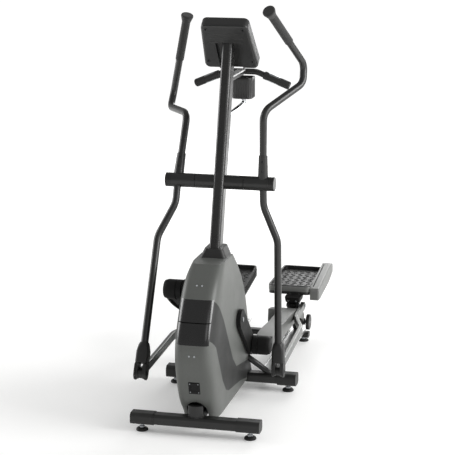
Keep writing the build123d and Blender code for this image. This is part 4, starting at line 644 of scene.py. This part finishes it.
for side, side_name in SIDES:
    hinge = Vector(joint[f"{side_name}_handle_swing"]["pos_m"])
    foot = Vector(joint[f"{side_name}_bar_pivot"]["pos_m"])
    hardware = bmesh.new()
    for out in (1, -1):
        clevis_end = Vector((side * (CLEVIS_X_MM + CLEVIS_HALF_MM * out) * MM, 0, 0))
        place = facing(foot + clevis_end, (side * out, 0, 0))
        turn(hardware, CLEVIS_BOLT, place, flats=6, flat_from=3, steps=48)
    socket_place = Matrix.Translation(hinge) @ Matrix.Rotation(REST_SWING * side, 4, "X")
    for height in (58, 96):
        point = Vector((side * SOCKET_X_MM, height * SOCKET_SLOPE + SOCKET_FACE_MM, height))
        place = socket_place @ facing(point * MM, (0, -1, 0.27))
        turn(hardware, SOCKET_SCREW, place, flats=6, flat_from=4)
    make_piece(f"{side_name}_handle_bolts", hardware, black_zinc, f"{side_name}_handle")
    arm_lean = Matrix.Rotation(REST_SWING * side + ARM_LEAN, 4, "X")
    arm_place = Matrix.Translation(foot + Vector((side * CLEVIS_X_MM * MM, 0, 0))) @ arm_lean
    cover = bmesh.new()
    framed_plate(cover, arm_place, [
        (24.6, 24.0, 9, 44), (26.0, 25.4, 10, 46), (26.0, 25.4, 10, 92),
        (22.0, 22.0, 13, 118), (18.6, 18.6, 17, 130),
    ])
    for out in (1, -1):
        beside = Matrix.Translation((out * CHEEK_MM * MM, 0, 12 * MM))
        cheek = arm_place @ beside @ Matrix.Rotation(out * pi / 2, 4, "Y")
        framed_plate(cover, cheek, [(38, 25.4, 25, 0), (38, 25.4, 25, 6.4), (36.8, 24.2, 24, 7.6)])
    make_piece(f"{side_name}_clevis_cover", cover, black_moulding, f"{side_name}_handle")

# ---- hand grips ----------------------------------------------------------------------------------
# Soft closed-cell foam sleeves are pushed over the tube ends and finish in a flared, mushroom shaped
# cap. The cut cells at the surface make the foam matt and slightly pitted.
FOAM_CELL_MM = 2.6  # real cells are 0.5 mm, drawn coarser to show
WORN_PATCHES_PER_METRE = 30.0
foam = bpy.data.materials.new("closed_cell_grip_foam")
foam.use_nodes = True
foam_place = add_node(foam, "ShaderNodeTexCoord").outputs["Object"]
cells = add_node(foam, "ShaderNodeTexVoronoi", {"Scale": 1 / (FOAM_CELL_MM * MM)}, {"Vector": foam_place})
worn = add_node(
    foam, "ShaderNodeTexNoise", {"Scale": WORN_PATCHES_PER_METRE, "Detail": 4.0}, {"Vector": foam_place}
)
foam_shade = add_node(
    foam, "ShaderNodeMix", {"data_type": "RGBA", 6: linear("#121212"), 7: linear("#232322")},
    {0: worn.outputs["Fac"]},
)
foam_relief = add_node(
    foam, "ShaderNodeBump", {"Distance": 0.5 * MM, "Strength": 0.7}, {"Height": cells.outputs["Distance"]}
)
foam_skin = foam.node_tree.nodes["Principled BSDF"]
foam_skin.inputs["Roughness"].default_value = 0.78
foam_skin.inputs["Sheen Weight"].default_value = 0.15
foam.node_tree.links.new(foam_shade.outputs[2], foam_skin.inputs["Base Color"])
foam.node_tree.links.new(foam_relief.outputs["Normal"], foam_skin.inputs["Normal"])
dress(foam, "right_grip", "left_grip")

# ---- console -------------------------------------------------------------------------------------
# A rounded ABS case sits on the mast and leans back to face the user. Four screws in raised bosses
# hold its two halves together, and low ribs cross its back. Its grain keeps the broad back dull.
CONSOLE_LEAN = radians(39)
CASE_BOSS = [(7.0, -0.5), (7.0, 1.6), (6.2, 2.2), (4.8, 2.2), (4.6, -0.2)]
CASE_SCREW = [(4.2, 0.0), (4.2, 0.9), (3.4, 1.3), (1.8, 1.3), (1.8, 0.7), (0.2, 0.7)]
case_abs = moulded("grained_charcoal_case_abs", "#191919", "#242423", 2.0, 0.09, 0.42, IOR=1.54)
dress(case_abs, "console_rear", edge_mm=1.5)
dress(case_abs, "console_face")
case_origin = Vector((0, -0.262, 1.519))
case_axes = Matrix((
    (-1, 0, 0, case_origin.x),
    (0, -sin(CONSOLE_LEAN), cos(CONSOLE_LEAN), case_origin.y),
    (0, cos(CONSOLE_LEAN), sin(CONSOLE_LEAN), case_origin.z),
    (0, 0, 0, 1),
))
case_screws = bmesh.new()
case_rims = bmesh.new()
away = Matrix.Rotation(pi, 4, "Y")
for u, v in ((80, 104), (-80, 104), (96, -82), (-96, -82)):
    place = case_axes @ Matrix.Translation((u * MM, v * MM, 0.6 * MM)) @ away
    turn(case_rims, CASE_BOSS, place, steps=32)
    turn(case_screws, CASE_SCREW, place, flats=6, flat_from=3, steps=24)
make_piece("console_screw_bosses", case_rims, case_abs, "frame")
make_piece("console_screws", case_screws, black_zinc, "frame")
case_ribs = bmesh.new()
for height in (28, 52, 76):
    place = case_axes @ Matrix.Translation((0, height * MM, 0.2 * MM)) @ away
    framed_plate(case_ribs, place, [(74, 1.7, 1.6, -0.5), (74, 1.7, 1.6, 0.5), (73.2, 0.9, 0.8, 1.0)])
make_piece("console_back_ribs", case_ribs, case_abs, "frame")

# ---- console window, board and keys --------------------------------------------------------------
# The window is a grey-green display behind clear acrylic, so it mirrors the room sharply. Its figures
# are plain dark segments, the board behind is lacquered green, and three satin moulded keys sit
# below, the middle one red.
window = moulded(
    "display_window", "#59645c", "#657067", 6.0, 0.01, 0.12, spread=0.02, IOR=1.49, Coat_Weight=0.5,
)
board = moulded("green_board_lacquer", "#12381f", "#1a4a29", 3.0, 0.05, 0.3, IOR=1.5)
key_red = moulded("moulded_red_key", "#8e1714", "#a5211c", 1.6, 0.04, 0.35, IOR=1.5)
key_grey = moulded("moulded_grey_key", "#55585a", "#66696b", 1.6, 0.04, 0.38, IOR=1.5)
dress(window, "console_screen", edge_mm=0.8)
dress(board, "circuit_board")
dress(key_red, "key_start", edge_mm=1.2)
dress(key_grey, "key_down", "key_up", edge_mm=1.2)
segment_ink = moulded("display_segment_ink", "#161b17", "#1d221e", 4.0, 0.01, 0.3)
SEGMENTS = {"0": "abcdef", "1": "bc", "2": "abged", "5": "afgcd", "7": "abc", "8": "abcdefg"}
SEGMENT_SPOTS = {
    "a": (0, 9, 0), "b": (5, 4.5, 90), "c": (5, -4.5, 90), "d": (0, -9, 0),
    "e": (-5, -4.5, 90), "f": (-5, 4.5, 90), "g": (0, 0, 0),
}
DIGIT_PITCH_MM, WINDOW_HEIGHT_MM, FIRST_DIGIT_MM = 17.6, 51.0, 8
figures = bmesh.new()
for row, text in enumerate(("012", "25", "58", "70")):
    left, base = (-48, 66) if row == 0 else (-56 + 48 * (row - 1), 22)
    size = 1.4 if row == 0 else 0.9
    for order, figure in enumerate(text):
        for letter in SEGMENTS[figure]:
            x, y, turned = SEGMENT_SPOTS[letter]
            u = left + (DIGIT_PITCH_MM * order + x) * size + FIRST_DIGIT_MM
            spot = Vector((u, base + y * size, WINDOW_HEIGHT_MM)) * MM
            place = case_axes @ Matrix.Translation(spot) @ Matrix.Rotation(radians(turned), 4, "Z")
            outline = (3.9 * size, 1.0 * size, 0.9 * size)
            framed_plate(figures, place, [(*outline, -0.1), (*outline, 0.15)])
make_piece("display_figures", figures, segment_ink, "frame")

# ---- fixed handlebar and pulse grips -------------------------------------------------------------
# A short bent bar below the console carries two rounded grips. Each grip is a soft black moulding
# with a pair of thin stainless plates that touch the palm, brushed so they gleam without mirroring.
PLATE_START, PLATE_LENGTH, PLATE_STEPS = 0.050, 0.062, 12
GRIP_HALF_HIGH_MM, GRIP_HALF_WIDE_MM, PLATE_HALF_ARC = 18.0, 20.0, radians(46)
PLATE_OUTER, PLATE_INNER = 1.025, 0.98
dress(handle_coat, "fixed_handlebar")
dress(black_moulding, "pulse_grips")
stainless = brushed("pulse_plate_stainless", "#9c9fa1", "#c2c5c7", "x", 0.9, 0.24)
plates = bmesh.new()
for side in (1, -1):
    bar_root = Vector((side * 0.066, 0.004, 1.386))
    bar_tip = Vector((side * 0.196, 0.015, 1.332))
    axis = (bar_tip - bar_root).normalized()
    across = axis.cross(Vector((0, 0, 1))).normalized()
    up = across.cross(axis).normalized()
    for facing_up in (1, -1):
        rings = []
        for step in range(PLATE_STEPS + 1):
            share = step / PLATE_STEPS
            centre = bar_root + axis * (PLATE_START + PLATE_LENGTH * share)
            # the ends narrow to rounded tips
            narrow = min(1.0, 6 * share + 0.35, 6 * (1 - share) + 0.35)
            outer, inner = [], []
            for k in range(-6, 7):
                angle = k / 6 * PLATE_HALF_ARC * narrow + (0 if facing_up > 0 else pi)
                spoke = up * cos(angle) * GRIP_HALF_HIGH_MM + across * sin(angle) * GRIP_HALF_WIDE_MM
                outer.append(centre + spoke * PLATE_OUTER * MM)
                inner.append(centre + spoke * PLATE_INNER * MM)
            rings.append(outer + inner[::-1])
        stack_rings(plates, rings)
make_piece("pulse_plates", plates, stainless, "frame")

# ---- bottle holder -------------------------------------------------------------------------------
# A moulded cup with upright ribs on its outside and a plain rolled rim. The ribs catch thin vertical
# lights. It stands on a tube bent out of the mast, whose chrome plate mirrors the floor and machine.
RIB_PITCH_MM, RIB_DEPTH_MM, CUP_POINTS = 7.7, 1.7, 384
cup_low, cup_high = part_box("bottle_holder")
cup_middle = (cup_low + cup_high) / 2
cup_half = (cup_high.x - cup_low.x) / 2 / MM
CUP_CORNER = 22.0
cup_abs = moulded("ribbed_cup_abs", "#131313", "#1e1e1d", 1.8, 0.06, 0.38, IOR=1.54)


def cup_ring(inset, height, ribbed):
    """One level of the cup, with ribs cut in where ribbed is 1."""
    half, radius = cup_half - inset, max(CUP_CORNER - inset, 4.0)
    straight = 2 * (half - radius)
    quarter = radius * pi / 2
    perimeter = 4 * (straight + quarter)
    rib_count = round(perimeter / RIB_PITCH_MM)
    points = []
    for step in range(CUP_POINTS):
        length = perimeter * step / CUP_POINTS
        side_index, rest = int(length // (straight + quarter)), length % (straight + quarter)
        turned = Matrix.Rotation(side_index * pi / 2, 2)
        if rest < straight:
            spot, outward = Vector((half, -half + radius + rest)), Vector((1, 0))
        else:
            angle = (rest - straight) / radius
            outward = Vector((cos(angle), sin(angle)))
            spot = Vector((half - radius, half - radius)) + outward * radius
        wave = 0.5 - 0.5 * cos(2 * pi * length * rib_count / perimeter)
        groove = ribbed * RIB_DEPTH_MM * wave
        spot = turned @ (spot - outward * groove)
        points.append(Vector((cup_middle.x + spot.x * MM, cup_middle.y + spot.y * MM, height)))
    return points


# (inset, height above the cup's foot or below its rim, ribbed), all round the outside and down inside
FOOT_RINGS = [(6, 0, 0), (2.2, 1, 0), (0.8, 3, 0), (0.4, 6, 1)]
RIM_RINGS = [
    (0.3, -14, 1), (0.3, -11, 0), (0.0, -9, 0), (0.0, -1.5, 0), (0.8, -0.3, 0), (2.2, -0.3, 0),
    (3.0, -1.5, 0),
]
WELL_RINGS = [(3.2, 19, 0), (7.0, 16, 0)]
cup = bmesh.new()
stack_rings(cup, [
    cup_ring(inset, level + offset * MM, ribbed)
    for level, rings in ((cup_low.z, FOOT_RINGS), (cup_high.z, RIM_RINGS), (cup_low.z, WELL_RINGS))
    for inset, offset, ribbed in rings
])
ribbed_cup = make_piece("ribbed_bottle_cup", cup, cup_abs, "frame")
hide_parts("bottle_holder")
chrome = moulded("bright_chrome_plate", "#b4b6b8", "#c8cacc", 3.0, 0.005, 0.13, spread=0.03, Metallic=1.0)
dress(chrome, "holder_tube")

# ---- floor and light -----------------------------------------------------------------------------
# A plain pale studio floor that glows everywhere: faintly near the machine, which paints light into
# the shadows there, and strongly far off, so it runs into a white background. A large soft key light
# stands to the machine's right and high up, a weaker one on its left, one behind and a small fill in
# front, and a bright room all round keeps the shadows pale.
floor_paint_and_glow = moulded(
    "pale_studio_floor", "#f4f4f3", "#f8f8f7", 30.0, 0.01, 0.7, cloud_mm=900,
    Emission_Color=linear("#ffffff"),
)
floor_place = add_node(floor_paint_and_glow, "ShaderNodeTexCoord").outputs["Object"]
from_machine = add_node(floor_paint_and_glow, "ShaderNodeVectorMath", {"operation": "LENGTH"}, {0: floor_place})
# the glow is painted light: faint within 1.2 m, where it lifts the cast shadows, rising to white far off
glow = add_node(
    floor_paint_and_glow, "ShaderNodeMapRange",
    {"From Min": 1.2, "From Max": 6.0, "To Min": 0.12, "To Max": 0.7, "interpolation_type": "SMOOTHSTEP"},
    {"Value": from_machine.outputs["Value"]},
)
floor_paint_and_glow.node_tree.links.new(
    glow.outputs["Result"], floor_paint_and_glow.node_tree.nodes["Principled BSDF"].inputs["Emission Strength"]
)
FLOOR_HALF = 30
floor_corners = [(x * FLOOR_HALF, y * FLOOR_HALF, 0) for x, y in ((-1, -1), (1, -1), (1, 1), (-1, 1))]
floor_mesh = bpy.data.meshes.new("studio_floor")
floor_mesh.from_pydata(floor_corners, [], [(0, 1, 2, 3)])
floor_mesh.materials.append(floor_paint_and_glow)
studio_floor = bpy.data.objects.new("studio_floor", floor_mesh)
bpy.context.scene.collection.objects.link(studio_floor)
room = bpy.data.worlds.new("bright_room")
room.use_nodes = True
room.node_tree.nodes["Background"].inputs["Color"].default_value = linear("#ffffff")
room.node_tree.nodes["Background"].inputs["Strength"].default_value = 0.38
bpy.context.scene.world = room
bpy.context.scene.view_settings.view_transform = "Standard"
for lamp_name, spot, aim, size, power in (
    ("key_softbox", (4.5, -0.7, 2.5), (0, 0, 0.8), 2.8, 225.0),
    ("left_softbox", (-4.4, 0.2, 1.9), (0, 0, 0.8), 2.8, 120.0),
    ("rear_softbox", (0.8, 5.6, 2.6), (0, 0, 0.5), 3.4, 170.0),
    ("front_fill", (3.4, -4.8, 3.2), (0, -0.4, 0.7), 2.0, 20.0),
):
    lamp = bpy.data.lights.new(lamp_name, "AREA")
    lamp.size = size
    lamp.energy = power
    softbox = bpy.data.objects.new(lamp_name, lamp)
    softbox.matrix_world = facing(spot, Vector(spot) - Vector(aim))
    softbox.visible_camera = False
    bpy.context.scene.collection.objects.link(softbox)

# ---- camera --------------------------------------------------------------------------------------
# A long lens nearly 7 m away, in front and a little to the machine's right. It stands 2.3 m up and
# looks gently down.
AIM = Vector((0.0237, -0.3617, 0.7674))
LENS_MM, SENSOR_MM = 126.9, 36.0
azimuth, elevation, distance = radians(13.62), radians(12.96), 6.803
back_off = Vector((sin(azimuth) * cos(elevation), -cos(azimuth) * cos(elevation), sin(elevation)))
lens = bpy.data.cameras.new("studio_camera")
lens.lens = LENS_MM
lens.sensor_width = SENSOR_MM
camera = bpy.data.objects.new("studio_camera", lens)
camera.matrix_world = facing(AIM + back_off * distance, back_off)
bpy.context.scene.collection.objects.link(camera)
bpy.context.scene.camera = camera
